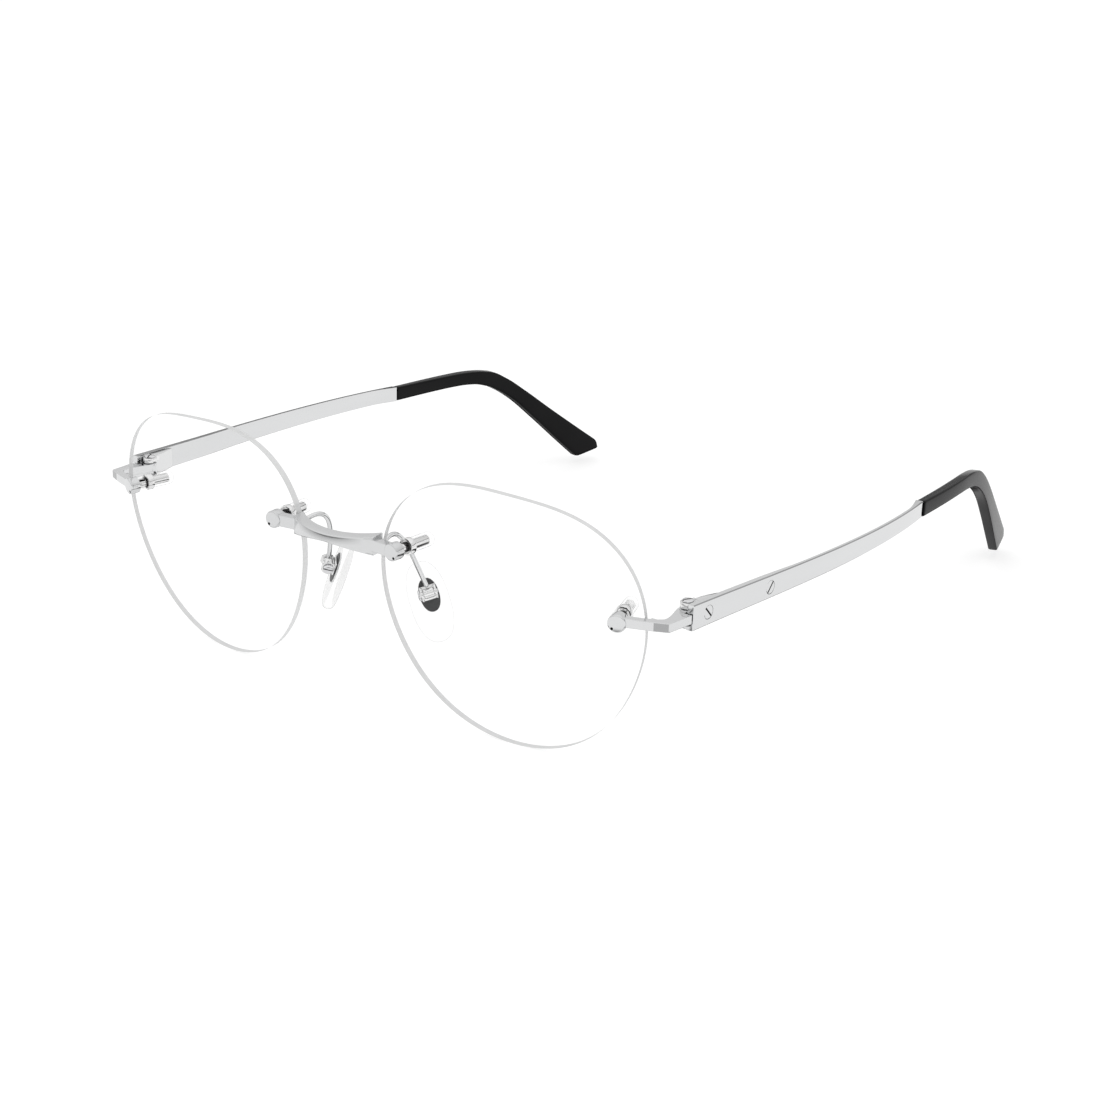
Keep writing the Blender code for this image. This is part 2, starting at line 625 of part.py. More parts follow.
def pad_matrix(s, off=(0, 0, 0)):
    """frame of a pad: X width, Y up its length, Z out of its mounting side."""
    x, y, z = PAD_W, PAD_L, PAD_N
    if s < 0:
        x = Vector((PAD_W.x, -PAD_W.y, -PAD_W.z))
        y = Vector((-PAD_L.x, PAD_L.y, PAD_L.z))
        z = Vector((-PAD_N.x, PAD_N.y, PAD_N.z))
    rot = Matrix((x, y, z)).transposed().to_4x4()
    c = Vector((s * PAD_C[0], PAD_C[1], PAD_C[2]))
    c = c + x * off[0] + y * off[1] + z * off[2]
    return Matrix.Translation(c * MM) @ rot


def oval(a, b, n, power):
    pts = []
    for i in range(n):
        th = 2 * math.pi * i / n
        c, q = math.cos(th), math.sin(th)
        pts.append((math.copysign(abs(c) ** (2 / power), c) * b,
                    math.copysign(abs(q) ** (2 / power), q) * a))
    return pts


def make_pad(side, s):
    hub = pad_matrix(s, (s * SCREW_C[2], SCREW_C[1], SCREW_C[0]))
    rock = empty("pad_rock_" + side, hub, front)
    back = hub.inverted() @ pad_matrix(s)
    pad = flat_outline("nose_pad_" + side, oval(PAD_A, PAD_B, 40, 2.4), PAD_T / 2)
    link(pad, GLASSES, rock, M_PAD)
    pad.matrix_local = back @ Matrix.Translation((0, 0, (PAD_OUT - PAD_T / 2) * MM))
    bevel(pad, 0.7, 3, 50)
    plate = flat_outline("pad_insert_" + side, oval(3.05, 1.75, 28, 2.2), 0.2)
    link(plate, GLASSES, rock, M_CORE)
    plate.matrix_local = back @ Matrix.Translation((s * SCREW_C[2] * MM, INSERT_UP * MM,
                                                     (PAD_OUT - 0.2) * MM))
    pocket = cutter(flat_outline("cut_pad_pocket_" + side, oval(3.12, 1.82, 28, 2.2), 1.0), rock)
    pocket.matrix_local = back @ Matrix.Translation((s * SCREW_C[2] * MM, INSERT_UP * MM,
                                                      (PAD_OUT - 0.45 + 1.0) * MM))
    boolean(pad, pocket, "DIFFERENCE")
    # cradle: two round cheeks and a floor around the arm's cup
    z0 = PAD_OUT - SCREW_C[0]            # outer face of the insert, from the hub
    cradle = box("pad_cradle_" + side, -1.45, 1.45, -1.3, 1.3, z0 + 0.03, z0 + 0.35)
    link(cradle, GLASSES, rock, M_STEEL)
    for k, x in enumerate((-1.45, 1.05)):
        cheek = cutter(cylinder("add_cheek_%d_%s" % (k, side), CHEEK_R, x, x + 0.4, 28), rock)
        cheek.rotation_euler = (0, math.pi / 2, 0)
        boolean(cradle, cheek, "UNION")
    hole = cutter(cylinder("cut_cradle_hole_" + side, 0.45, -3, 3, 16), rock)
    hole.rotation_euler = (0, math.pi / 2, 0)
    boolean(cradle, hole, "DIFFERENCE")
    # cup on the end of the arm, between the cheeks
    cup = cylinder("pad_arm_cup_" + side, 0.88, -0.95, 0.95, 22)
    link(cup, GLASSES, front, M_STEEL)
    cup.matrix_local = hub @ Matrix.Rotation(math.pi / 2, 4, "Y")
    cup_bore = cutter(cylinder("cut_cup_bore_" + side, 0.45, -3, 3, 16), front)
    cup_bore.matrix_local = hub @ Matrix.Rotation(math.pi / 2, 4, "Y")
    boolean(cup, cup_bore, "DIFFERENCE")
    screw = turned("pad_screw_" + side, [(0, 1.95), (0.8, 1.95), (0.95, 1.8), (0.95, 1.52),
                                         (0.38, 1.52), (0.38, -1.65), (0, -1.65)], 18, closed=False)
    link(screw, GLASSES, front, M_SCREW)
    flip = Matrix.Rotation(-math.pi / 2, 4, "Y") if s > 0 else Matrix.Rotation(math.pi / 2, 4, "Y")
    screw.matrix_local = hub @ flip
    slot = cutter(box("cut_pad_screw_slot_" + side, -1, 1, -0.1, 0.1, 1.75, 3), front)
    slot.matrix_local = hub @ flip
    boolean(screw, slot, "DIFFERENCE")
    return rock, hub


def make_pad_arm(side, s, hub):
    end = hub @ Vector((0, 1.33 * MM, 0.25 * MM)) / MM
    p = [Vector((9.0, 0.62, 31.9)), Vector((7.6, 6.3, 34.2)), Vector((9.0, 7.4, 28.3)),
         Vector((abs(end.x), end.y, end.z))]
    pts = []
    n = 22
    for i in range(n + 1):
        t = i / n
        q = (p[0] * (1 - t) ** 3 + p[1] * 3 * (1 - t) ** 2 * t + p[2] * 3 * (1 - t) * t * t
             + p[3] * t ** 3)
        pts.append((s * q.x, q.y, q.z))
    return wire("pad_arm_" + side, pts, 0.42, front, M_STEEL)


# --------------------------------------------------------------------- build
carriers = {}
for side, s in (("left", 1), ("right", -1)):
    carriers[s] = empty("lens_carrier_" + side, lens_matrix(s), front)
    make_lens(side, s, carriers[s])
    make_mount(side, s, "temple", MOUNT_T, 6.25, 7.3, carriers[s])
    make_mount(side, s, "nose", MOUNT_N, 6.8, 8.0, carriers[s])
    make_endpiece(side, s, carriers[s])
    make_hinge_screw(side, s)
    pivot = empty("hinge_axis_" + side, Matrix.Translation(Vector((s * HINGE_X * MM, HINGE_Y * MM, 0)) + FOOT))
    temple = make_temple(side, s, pivot)
    leaf = make_hinge_leaf(side, s, pivot)
    make_tip(side, s, pivot)
    make_temple_screws(side, s, pivot, temple, leaf)
    rock, hub = make_pad(side, s)
    make_pad_arm(side, s, hub)
make_bridge(carriers)
bpy.context.view_layer.update()
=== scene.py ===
"""Looks of the rimless eyeglasses: fine meshes, procedural materials, studio.

Same frame as the CAD: metres, +Z up, +X the wearer's left, -Y the front.
"""
import math

import bmesh
import bpy
from mathutils import Matrix, Vector


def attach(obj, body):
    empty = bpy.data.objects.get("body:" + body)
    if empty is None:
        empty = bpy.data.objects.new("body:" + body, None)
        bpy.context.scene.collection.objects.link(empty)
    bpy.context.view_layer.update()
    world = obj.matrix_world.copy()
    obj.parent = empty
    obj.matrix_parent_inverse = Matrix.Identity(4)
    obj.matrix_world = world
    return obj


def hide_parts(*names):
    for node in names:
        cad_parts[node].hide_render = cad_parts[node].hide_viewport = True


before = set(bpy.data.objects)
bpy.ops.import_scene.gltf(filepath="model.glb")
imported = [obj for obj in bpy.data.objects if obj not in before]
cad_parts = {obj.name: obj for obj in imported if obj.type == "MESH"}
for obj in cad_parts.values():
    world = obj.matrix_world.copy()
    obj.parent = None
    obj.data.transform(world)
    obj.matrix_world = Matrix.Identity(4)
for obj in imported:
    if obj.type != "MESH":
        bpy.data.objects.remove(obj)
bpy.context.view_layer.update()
scene = bpy.context.scene
MM = 0.001

# ------------------------------------------------------------ design figures
LENS_THICK, LENS_RADIUS, LENS_CX, LENS_Z = 1.60, 108.9, 34.27, 22.563
WRAP, PANTO = math.radians(6.32), math.radians(7.03)
OUT_MEAN = 24.15
OUT_HARM = ((-0.13, 0.99), (0.85, -0.31), (0.14, 1.07), (-0.41, 0.09))
MOUNT_T, MOUNT_N = (20.9, 5.3), (-20.6, 9.4)
HOLE_R, BOSS_R, BOSS_FRONT, PIN_R = 1.15, 1.55, 2.0, 0.85
FERRULE_R, FERRULE_L = 1.5, 1.25
HINGE_X, HINGE_Y, KNUCKLE_R = 61.5, 13.1, 1.30
KNUCKLE_Z = (27.1, 29.3)
ARM_Z, ARM_H = 28.5, 1.56
TEMPLE_Y0 = 10.95
SCREW_Y = (15.1, 32.5)
SCREW_HEAD = 1.20
SHIFT = Vector((0.0, -0.0779005, -0.000064))   # from the lens fronts to the row frame
PAD_C = (11.0, 10.5, 18.7)
PAD_A, PAD_B, PAD_T, PAD_OUT = 7.3, 3.55, 2.0, 0.6
INSERT_UP = 1.25
BRIDGE_LEAN = 0.25
TEMPLE_TOP = ((10.0, 30.78), (30.0, 30.42), (60.0, 29.97), (94.0, 29.55), (113.0, 29.2))
TEMPLE_BOT = ((10.0, 26.40), (50.0, 26.28), (94.0, 26.34), (112.0, 26.2))
TEMPLE_T = ((10.0, 1.20), (30.0, 1.15), (44.0, 0.72), (84.0, 0.70), (90.5, 1.55))
TIP_X = ((90.0, 65.35), (100.0, 64.95), (110.0, 64.28), (118.0, 63.35), (125.0, 62.33),
         (132.0, 61.1), (140.0, 59.51), (150.0, 57.4), (162.0, 54.8))
TIP_R = ((90.0, 29.52), (105.0, 29.31), (113.0, 29.15), (118.0, 28.8), (123.0, 27.95),
         (128.0, 25.62), (134.0, 21.75), (142.0, 16.15), (152.0, 9.33), (161.5, 2.97))
TIP_F = ((90.0, 26.34), (105.0, 26.33), (112.0, 26.22), (117.0, 25.8), (121.0, 24.8),
         (125.0, 23.0), (130.0, 19.95), (137.0, 14.3), (145.0, 7.4), (152.0, 1.45))
TIP_T = ((90.0, 1.9), (110.0, 2.3), (130.0, 2.35), (161.0, 2.0))



# ------------------------------------------------------------------ materials
def nodes_of(mat):
    mat.use_nodes = True
    nt = mat.node_tree
    return nt, nt.nodes["Principled BSDF"]


def surface(name, rgb, rough, metal=0.0, vary=0.03, rough_vary=0.04, scale=900.0,
            stretch=(1.0, 1.0, 1.0), bump=0.02, transmission=0.0, ior=1.5, coat=0.0,
            spec=0.5, alpha=1.0, fine=6.0, edge_alpha=None, edge_from=0.35, glow=0.0,
            painted_rim_reflection=None):
    """Principled surface whose colour, roughness and relief all come from noise;
    painted_rim_reflection adds a painted dark reflection just inside the silhouette.
    """
    mat = bpy.data.materials.new(name)
    nt, bsdf = nodes_of(mat)
    new, wire = nt.nodes.new, nt.links.new
    co = new("ShaderNodeTexCoord")
    mp = new("ShaderNodeMapping")
    mp.inputs["Scale"].default_value = stretch
    wire(co.outputs["Object"], mp.inputs["Vector"])
    big = new("ShaderNodeTexNoise")
    big.inputs["Scale"].default_value = scale * 0.25
    big.inputs["Detail"].default_value = 3.0
    wire(mp.outputs["Vector"], big.inputs["Vector"])
    small = new("ShaderNodeTexNoise")
    small.inputs["Scale"].default_value = scale * fine
    small.inputs["Detail"].default_value = 2.0
    wire(mp.outputs["Vector"], small.inputs["Vector"])
    tint = new("ShaderNodeValToRGB")
    lo = tuple(max(c * (1 - vary), 0.0) for c in rgb)
    hi = tuple(min(c * (1 + vary), 1.0) for c in rgb)
    tint.color_ramp.elements[0].position = 0.3
    tint.color_ramp.elements[0].color = (*lo, 1.0)
    tint.color_ramp.elements[1].position = 0.7
    tint.color_ramp.elements[1].color = (*hi, 1.0)
    wire(big.outputs["Fac"], tint.inputs["Fac"])
    if painted_rim_reflection is None:
        wire(tint.outputs["Color"], bsdf.inputs["Base Color"])
    else:
        # painted reflection on polished round metal: a dark line painted just inside its silhouette,
        # set by facing
        lo_f, hi_f, low = painted_rim_reflection
        face = new("ShaderNodeLayerWeight")
        face.inputs["Blend"].default_value = 0.5
        band = new("ShaderNodeValToRGB")
        el = band.color_ramp.elements
        el[0].position, el[0].color = lo_f, (1, 1, 1, 1)
        el[1].position, el[1].color = min(hi_f + 0.12, 1.0), (0.9, 0.9, 0.9, 1)
        for pos in (lo_f + 0.05, hi_f):
            e = el.new(pos)
            e.color = (low, low, low, 1)
        wire(face.outputs["Facing"], band.inputs["Fac"])
        both = new("ShaderNodeVectorMath")
        both.operation = "MULTIPLY"
        wire(tint.outputs["Color"], both.inputs[0])
        wire(band.outputs["Color"], both.inputs[1])
        wire(both.outputs["Vector"], bsdf.inputs["Base Color"])
    rr = new("ShaderNodeMapRange")
    rr.inputs["From Min"].default_value = 0.3
    rr.inputs["From Max"].default_value = 0.7
    rr.inputs["To Min"].default_value = max(rough - rough_vary, 0.0)
    rr.inputs["To Max"].default_value = rough + rough_vary
    wire(small.outputs["Fac"], rr.inputs["Value"])
    wire(rr.outputs["Result"], bsdf.inputs["Roughness"])
    if bump > 0:
        bp = new("ShaderNodeBump")
        bp.inputs["Strength"].default_value = bump
        bp.inputs["Distance"].default_value = 0.00002
        wire(small.outputs["Fac"], bp.inputs["Height"])
        wire(bp.outputs["Normal"], bsdf.inputs["Normal"])
    bsdf.inputs["Metallic"].default_value = metal
    bsdf.inputs["IOR"].default_value = ior
    bsdf.inputs["Transmission Weight"].default_value = transmission
    bsdf.inputs["Coat Weight"].default_value = coat
    bsdf.inputs["Specular IOR Level"].default_value = spec
    bsdf.inputs["Alpha"].default_value = alpha
    if edge_alpha is not None:
        lw = new("ShaderNodeLayerWeight")
        lw.inputs["Blend"].default_value = 0.5
        am = new("ShaderNodeMapRange")
        am.interpolation_type = "SMOOTHSTEP"
        am.inputs["From Min"].default_value = edge_from
        am.inputs["From Max"].default_value = 1.0
        am.inputs["To Min"].default_value = alpha
        am.inputs["To Max"].default_value = edge_alpha
        wire(lw.outputs["Facing"], am.inputs["Value"])
        wire(am.outputs["Result"], bsdf.inputs["Alpha"])
    if glow > 0:
        wire(tint.outputs["Color"], bsdf.inputs["Emission Color"])
        bsdf.inputs["Emission Strength"].default_value = glow
    mat.diffuse_color = (*rgb, 1.0)
    return mat


M_STEEL = surface("satin_steel_fine", (0.725, 0.73, 0.735), 0.085, 1.0, 0.012, 0.02, 1200.0,
                  (1.0, 0.12, 1.0), 0.02)
M_BRIDGE = surface("bridge_steel_fine", (0.70, 0.705, 0.71), 0.2, 1.0, 0.012, 0.02, 1200.0,
                   (0.2, 1.0, 1.0), 0.02)
# darker copy of the satin steel: painted dark reflection for the endpiece facet and the temples' top
# chamfers, not a different finish
M_STEEL_PAINTED_DARK = surface("steel_painted_dark_reflection", (0.41, 0.413, 0.416), 0.14, 1.0, 0.012, 0.02, 1200.0,
                  (1.0, 0.12, 1.0), 0.02)
# pad-arm wire: a painted dark reflection band just inside its silhouette
M_WIRE = surface("wire_steel_fine", (0.76, 0.765, 0.77), 0.07, 1.0, 0.02, 0.02, 1500.0,
                 painted_rim_reflection=(0.62, 0.80, 0.45))
M_BRIGHT = surface("polished_steel_fine", (0.84, 0.84, 0.84), 0.05, 1.0, 0.015, 0.02, 1500.0)
M_LEAF = surface("leaf_steel_fine", (0.765, 0.768, 0.77), 0.085, 1.0, 0.012, 0.02, 1200.0)
M_SCREW = surface("screw_steel_fine", (0.76, 0.76, 0.77), 0.08, 1.0, 0.03, 0.03, 2000.0)
# near-black for screw slots, boss dimples and screw seats: painted shade in recesses of plain steel
M_SLOT_PAINTED_SHADE = surface("recess_painted_shade", (0.02, 0.02, 0.021), 0.5, 0.0, 0.2, 0.1, 2000.0, spec=0.2)
M_PIN = surface("pin_steel_fine", (0.84, 0.84, 0.84), 0.04, 1.0, 0.02, 0.02, 2500.0)
M_LENS = surface("clear_lens_fine", (0.50, 0.505, 0.505), 0.03, 0.0, 0.01, 0.01, 60.0,
                 bump=0.0, alpha=0.006, edge_alpha=0.10, edge_from=0.6, spec=0.2)
M_EDGE = surface("lens_edge_ground", (0.70, 0.704, 0.704), 0.40, 0.0, 0.02, 0.05, 1500.0,
                 bump=0.04, alpha=0.9, spec=0.2)
M_SLEEVE = surface("clear_sleeve_fine", (0.45, 0.45, 0.45), 0.06, 0.0, 0.02, 0.02, 900.0,
                   bump=0.02, alpha=0.02, edge_alpha=0.5, edge_from=0.6, spec=0.3)
M_PAD = surface("clear_silicone_fine", (0.50, 0.50, 0.498), 0.14, 0.0, 0.01, 0.04, 500.0,
                bump=0.05, alpha=0.035, edge_alpha=0.5, edge_from=0.5, spec=0.3)
M_CORE = surface("dark_insert_fine", (0.055, 0.055, 0.057), 0.42, 0.3, 0.06, 0.06, 900.0,
                 bump=0.05)
M_TIP = surface("black_acetate_fine", (0.005, 0.005, 0.0054), 0.2, 0.0, 0.15, 0.03, 500.0,
                bump=0.03, spec=0.17, ior=1.33)


def paint_bridge_shade(mat):
    """painted shade on the bridge's front face, standing in for its darker reflection: darker under
    the top edge, mid-span.
    """
    nt, bsdf = nodes_of(mat)
    new, wire = nt.nodes.new, nt.links.new

    def calc(op, a, b=0.0, clamp=False):
        n = new("ShaderNodeMath")
        n.operation = op
        n.use_clamp = clamp
        for k, v in enumerate((a, b)):
            if isinstance(v, (int, float)):
                n.inputs[k].default_value = v
            else:
                wire(v, n.inputs[k])
        return n.outputs[0]
    pos = new("ShaderNodeSeparateXYZ")
    wire(new("ShaderNodeTexCoord").outputs["Object"], pos.inputs["Vector"])
    nor = new("ShaderNodeSeparateXYZ")
    wire(new("ShaderNodeNewGeometry").outputs["Normal"], nor.inputs["Vector"])
    x2 = calc("MULTIPLY", pos.outputs["X"], pos.outputs["X"])
    drop = calc("SUBTRACT", 0.03246, calc("SUBTRACT", pos.outputs["Z"], calc("MULTIPLY", x2, 7.654)))
    high = calc("SUBTRACT", 1.0, calc("MULTIPLY", drop, 800.0), True)
    mid = calc("SUBTRACT", 1.0, calc("MULTIPLY", x2, 18000.0), True)
    ahead = calc("MULTIPLY", calc("SUBTRACT", calc("MULTIPLY", nor.outputs["Y"], -1.0), 0.6), 5.0,
                 True)
    # painted shade: up to 55 % darker where the top-edge, mid-span and front-facing masks meet
    bridge_painted_shade = calc("MULTIPLY", calc("MULTIPLY", calc("MULTIPLY", high, mid), ahead), 0.55)
    mul = new("ShaderNodeVectorMath")
    mul.operation = "SCALE"
    wire(bsdf.inputs["Base Color"].links[0].from_socket, mul.inputs[0])
    wire(calc("SUBTRACT", 1.0, bridge_painted_shade), mul.inputs["Scale"])
    wire(mul.outputs["Vector"], bsdf.inputs["Base Color"])


paint_bridge_shade(M_BRIDGE)


# -------------------------------------------------------------------- helpers
TEMP = []


def raw(name, bm, matrix=None):
    bmesh.ops.recalc_face_normals(bm, faces=bm.faces)
    me = bpy.data.meshes.new(name)
    bm.to_mesh(me)
    bm.free()
    for _ in range(3):
        me.materials.append(None)
    ob = bpy.data.objects.new(name, me)
    scene.collection.objects.link(ob)
    if matrix is not None:
        ob.matrix_world = matrix
    TEMP.append(ob)
    return ob


def loft(rings, matrix=None, end_bevel=0.0, closed=True, mat_of=None):
    bm = bmesh.new()
    loops = [[bm.verts.new((x * MM, y * MM, z * MM)) for x, y, z in ring] for ring in rings]
    n = len(loops[0])
    for k, (a, b) in enumerate(zip(loops, loops[1:])):
        for i in range(n):
            j = (i + 1) % n
            f = bm.faces.new((a[i], a[j], b[j], b[i]))
            if mat_of is not None:
                f.material_index = mat_of(k, i)
    if closed:
        ends = [bm.faces.new(loops[0]), bm.faces.new(list(reversed(loops[-1])))]
        if end_bevel > 0:
            bmesh.ops.recalc_face_normals(bm, faces=bm.faces)
            edges = list({e for f in ends for e in f.edges})
            bmesh.ops.bevel(bm, geom=edges, offset=end_bevel * MM, segments=2, profile=0.5,
                            affect="EDGES")
    return raw("loft", bm, matrix)


def lathe(profile, steps=64, matrix=None, mat_of=None):
    """profile of (radius, z) in mm, turned about local Z; r = 0 makes a pole."""
    bm = bmesh.new()
    rows = []
    for r, z in profile:
        if r <= 1e-9:
            rows.append([bm.verts.new((0, 0, z * MM))])
        else:
            rows.append([bm.verts.new((r * MM * math.cos(2 * math.pi * i / steps),
                                       r * MM * math.sin(2 * math.pi * i / steps), z * MM))
                         for i in range(steps)])
    for k, (a, b) in enumerate(zip(rows, rows[1:])):
        for i in range(steps):
            j = (i + 1) % steps
            if len(a) == 1 and len(b) == 1:
                continue
            if len(a) == 1:
                f = bm.faces.new((a[0], b[j], b[i]))
            elif len(b) == 1:
                f = bm.faces.new((a[i], a[j], b[0]))
            else:
                f = bm.faces.new((a[i], a[j], b[j], b[i]))
            if mat_of is not None:
                f.material_index = mat_of(k)
    return raw("lathe", bm, matrix)


def block(x0, x1, y0, y1, z0, z1, bevel=0.08, matrix=None, segs=2):
    bm = bmesh.new()
    bmesh.ops.create_cube(bm, size=1.0)
    bmesh.ops.scale(bm, vec=((x1 - x0) * MM, (y1 - y0) * MM, (z1 - z0) * MM), verts=bm.verts)
    bmesh.ops.translate(bm, vec=((x0 + x1) / 2 * MM, (y0 + y1) / 2 * MM, (z0 + z1) / 2 * MM),
                        verts=bm.verts)
    if bevel > 0:
        bmesh.ops.bevel(bm, geom=list(bm.edges), offset=bevel * MM, segments=segs, profile=0.5,
                        affect="EDGES")
    return raw("block", bm, matrix)


def slab(points, z0, z1, bevel=0.1, matrix=None, angle=28.0):
    """outline extruded from z0 to z1 with softened edges."""
    bm = bmesh.new()
    a = [bm.verts.new((x * MM, y * MM, z0 * MM)) for x, y in points]
    b = [bm.verts.new((x * MM, y * MM, z1 * MM)) for x, y in points]
    n = len(points)
    for i in range(n):
        j = (i + 1) % n
        bm.faces.new((a[i], a[j], b[j], b[i]))
    bm.faces.new(a)
    bm.faces.new(list(reversed(b)))
    bmesh.ops.recalc_face_normals(bm, faces=bm.faces)
    if bevel > 0:
        hard = [e for e in bm.edges
                if len(e.link_faces) == 2 and e.calc_face_angle() > math.radians(angle)]
        bmesh.ops.bevel(bm, geom=hard, offset=bevel * MM, segments=2, profile=0.5,
                        affect="EDGES")
    return raw("slab", bm, matrix)


def rod(points, radius, steps=20, cap=0.35):
    """round wire through points, with softly rounded ends."""
    pts = [Vector(p) for p in points]
    rings = []
    up = Vector((1, 0, 0))
    n = len(pts)
    tans = [(pts[min(i + 1, n - 1)] - pts[max(i - 1, 0)]).normalized() for i in range(n)]
    e1 = (up - tans[0] * up.dot(tans[0])).normalized()
    frames = []
    for t in tans:
        e1 = (e1 - t * e1.dot(t)).normalized()
        frames.append((e1.copy(), t.cross(e1)))

    def ring(p, f, r):
        return [tuple(p + f[0] * (r * math.cos(2 * math.pi * i / steps))
                      + f[1] * (r * math.sin(2 * math.pi * i / steps))) for i in range(steps)]
    for k in (1.0, 0.6, 0.25):
        rings.append(ring(pts[0] - tans[0] * radius * cap * k, frames[0],
                          radius * math.sqrt(max(1 - k * k, 0.02))))
    for p, f in zip(pts, frames):
        rings.append(ring(p, f, radius))
    for k in (0.25, 0.6, 1.0):
        rings.append(ring(pts[-1] + tans[-1] * radius * cap * k, frames[-1],
                          radius * math.sqrt(max(1 - k * k, 0.02))))
    return loft(rings)


def cut(ob, other, op="DIFFERENCE"):
    mod = ob.modifiers.new("cut", "BOOLEAN")
    mod.operation = op
    mod.solver = "EXACT"
    mod.object = other


def piece(name, parts, body, node, mats, angle=30.0, weighted=False):
    """joins the parts into one mesh in the row frame and hands it to the frame."""
    bpy.context.view_layer.update()
    dg = bpy.context.evaluated_depsgraph_get()
    bm = bmesh.new()
    for p in parts:
        me = bpy.data.meshes.new_from_object(p.evaluated_get(dg))
        me.transform(Matrix.Translation(SHIFT) @ p.matrix_world)
        bm.from_mesh(me)
        bpy.data.meshes.remove(me)
    me = bpy.data.meshes.new(name)
    bm.to_mesh(me)
    bm.free()
    for m in mats:
        me.materials.append(m)
    top = len(mats) - 1
    for p in me.polygons:
        p.use_smooth = True
        if p.material_index > top:
            p.material_index = top
    me.set_sharp_from_angle(angle=math.radians(max(angle, 46.0) if weighted else angle))
    ob = bpy.data.objects.new(name, me)
    scene.collection.objects.link(ob)
    if weighted:
        wn = ob.modifiers.new("flat_faces", "WEIGHTED_NORMAL")
        wn.mode = "FACE_AREA_WITH_ANGLE"
        wn.weight = 100
        wn.keep_sharp = True
        bpy.context.view_layer.update()
        flat = bpy.data.meshes.new_from_object(
            ob.evaluated_get(bpy.context.evaluated_depsgraph_get()))
        ob.modifiers.clear()
        ob.data = flat
        bpy.data.meshes.remove(me)
    while TEMP:
        bpy.data.objects.remove(TEMP.pop(), do_unlink=True)
    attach(ob, body)
    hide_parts(*([node] if isinstance(node, str) else node))
    return ob


def sample(table, x):
    n = len(table)
    if x <= table[0][0]:
        return table[0][1]
    if x >= table[-1][0]:
        return table[-1][1]
    d = [(table[i + 1][1] - table[i][1]) / (table[i + 1][0] - table[i][0])
         for i in range(n - 1)]
    m = [d[0]] + [0.0 if d[i - 1] * d[i] <= 0 else
                  2 * d[i - 1] * d[i] / (d[i - 1] + d[i]) for i in range(1, n - 1)] + [d[-1]]
    for i in range(n - 1):
        if x <= table[i + 1][0]:
            h = table[i + 1][0] - table[i][0]
            t = (x - table[i][0]) / h
            return ((2 * t ** 3 - 3 * t ** 2 + 1) * table[i][1]
                    + (t ** 3 - 2 * t ** 2 + t) * h * m[i]
                    + (-2 * t ** 3 + 3 * t ** 2) * table[i + 1][1]
                    + (t ** 3 - t ** 2) * h * m[i + 1])


def sag(u, w):
    return LENS_RADIUS - math.sqrt(LENS_RADIUS ** 2 - u * u - w * w)


def outline_radius(th):
    r = OUT_MEAN
    for k, (a, b) in enumerate(OUT_HARM, 1):
        r += a * math.cos(k * th) + b * math.sin(k * th)
    return r


def lens_matrix(s):
    return (Matrix.Translation((0, 0, LENS_Z * MM)) @ Matrix.Rotation(PANTO, 4, "X")
            @ Matrix.Translation((s * LENS_CX * MM, 0, 0))
            @ Matrix.Rotation(s * WRAP, 4, "Z") @ Matrix.Rotation(math.pi / 2, 4, "X"))


def mount_matrix(s, uw):
    u, w = uw
    d = sag(u, w)
    n = Vector((s * u, w, LENS_RADIUS - d)).normalized()
    x = Vector((0, 1, 0)).cross(n).normalized()
    y = n.cross(x)
    rot = Matrix((x, y, n)).transposed().to_4x4()
    return lens_matrix(s) @ Matrix.Translation((s * u * MM, w * MM, -d * MM)) @ rot


def temple_x(y):
    t = (y - 15.0) / 75.0
    return 64.22 + 5.72 * t + 3.82 * t * t - 7.70 * t ** 3


def side_x(y):
    return 63.2 + (y - 5.0) * 0.12


def mirror_ring(ring, s):
    return [(s * x, y, z) for x, y, z in ring]


# --------------------------------------------------------------------- lenses
def make_lens(side, s):
    n, rows = 240, 22
    bm = bmesh.new()
    ang = [2 * math.pi * i / n for i in range(n)]
    rad = [outline_radius(t) for t in ang]
    ch = 0.13

    def layer(f, t, inset=0.0):
        out = []
        for a, r in zip(ang, rad):
            q = (r - inset) * f
            x, y = s * q * math.cos(a), q * math.sin(a)
            out.append(bm.verts.new((x * MM, y * MM, (-sag(x, y) - t) * MM)))
        return out
    front = [layer(math.sqrt(k / rows), 0.0, ch) for k in range(1, rows + 1)]
    back = [layer(math.sqrt(k / rows), LENS_THICK, ch) for k in range(1, rows + 1)]

    def wall(f):
        """ring on the wall, f across its ground band; the band narrows to the temple."""
        out = []
        for a, r in zip(ang, rad):
            x, y = s * r * math.cos(a), r * math.sin(a)
            t = 0.17 + f * (1.05 + 0.15 * -math.cos(a))
            out.append(bm.verts.new((x * MM, y * MM, (-sag(x, y) - t) * MM)))
        return out
    rim = [layer(1.0, ch), wall(0.0), wall(0.5), wall(1.0), layer(1.0, LENS_THICK - ch)]
    c0 = bm.verts.new((0, 0, 0))
    c1 = bm.verts.new((0, 0, -LENS_THICK * MM))

    def band(a, b, m):
        for i in range(n):
            j = (i + 1) % n
            bm.faces.new((a[i], a[j], b[j], b[i])).material_index = m
    for i in range(n):
        j = (i + 1) % n
        bm.faces.new((c0, front[0][i], front[0][j]))
        bm.faces.new((c1, back[0][j], back[0][i]))
    for a, b in zip(front, front[1:]):
        band(a, b, 0)
    for a, b in zip(back, back[1:]):
        band(b, a, 0)
    chain = [front[-1]] + rim + [back[-1]]
    for k, (a, b) in enumerate(zip(chain, chain[1:])):
        band(a, b, 1 if 1 < k < len(chain) - 3 else 0)
    lens = raw("lens", bm, lens_matrix(s))
    for uw in (MOUNT_T, MOUNT_N):
        cut(lens, lathe([(0, -5), (HOLE_R, -5), (HOLE_R, 4), (0, 4)], 48, mount_matrix(s, uw)))
    piece("lens_%s_fine" % side, [lens], "front", "lens_" + side, [M_LENS, M_EDGE],
          25)


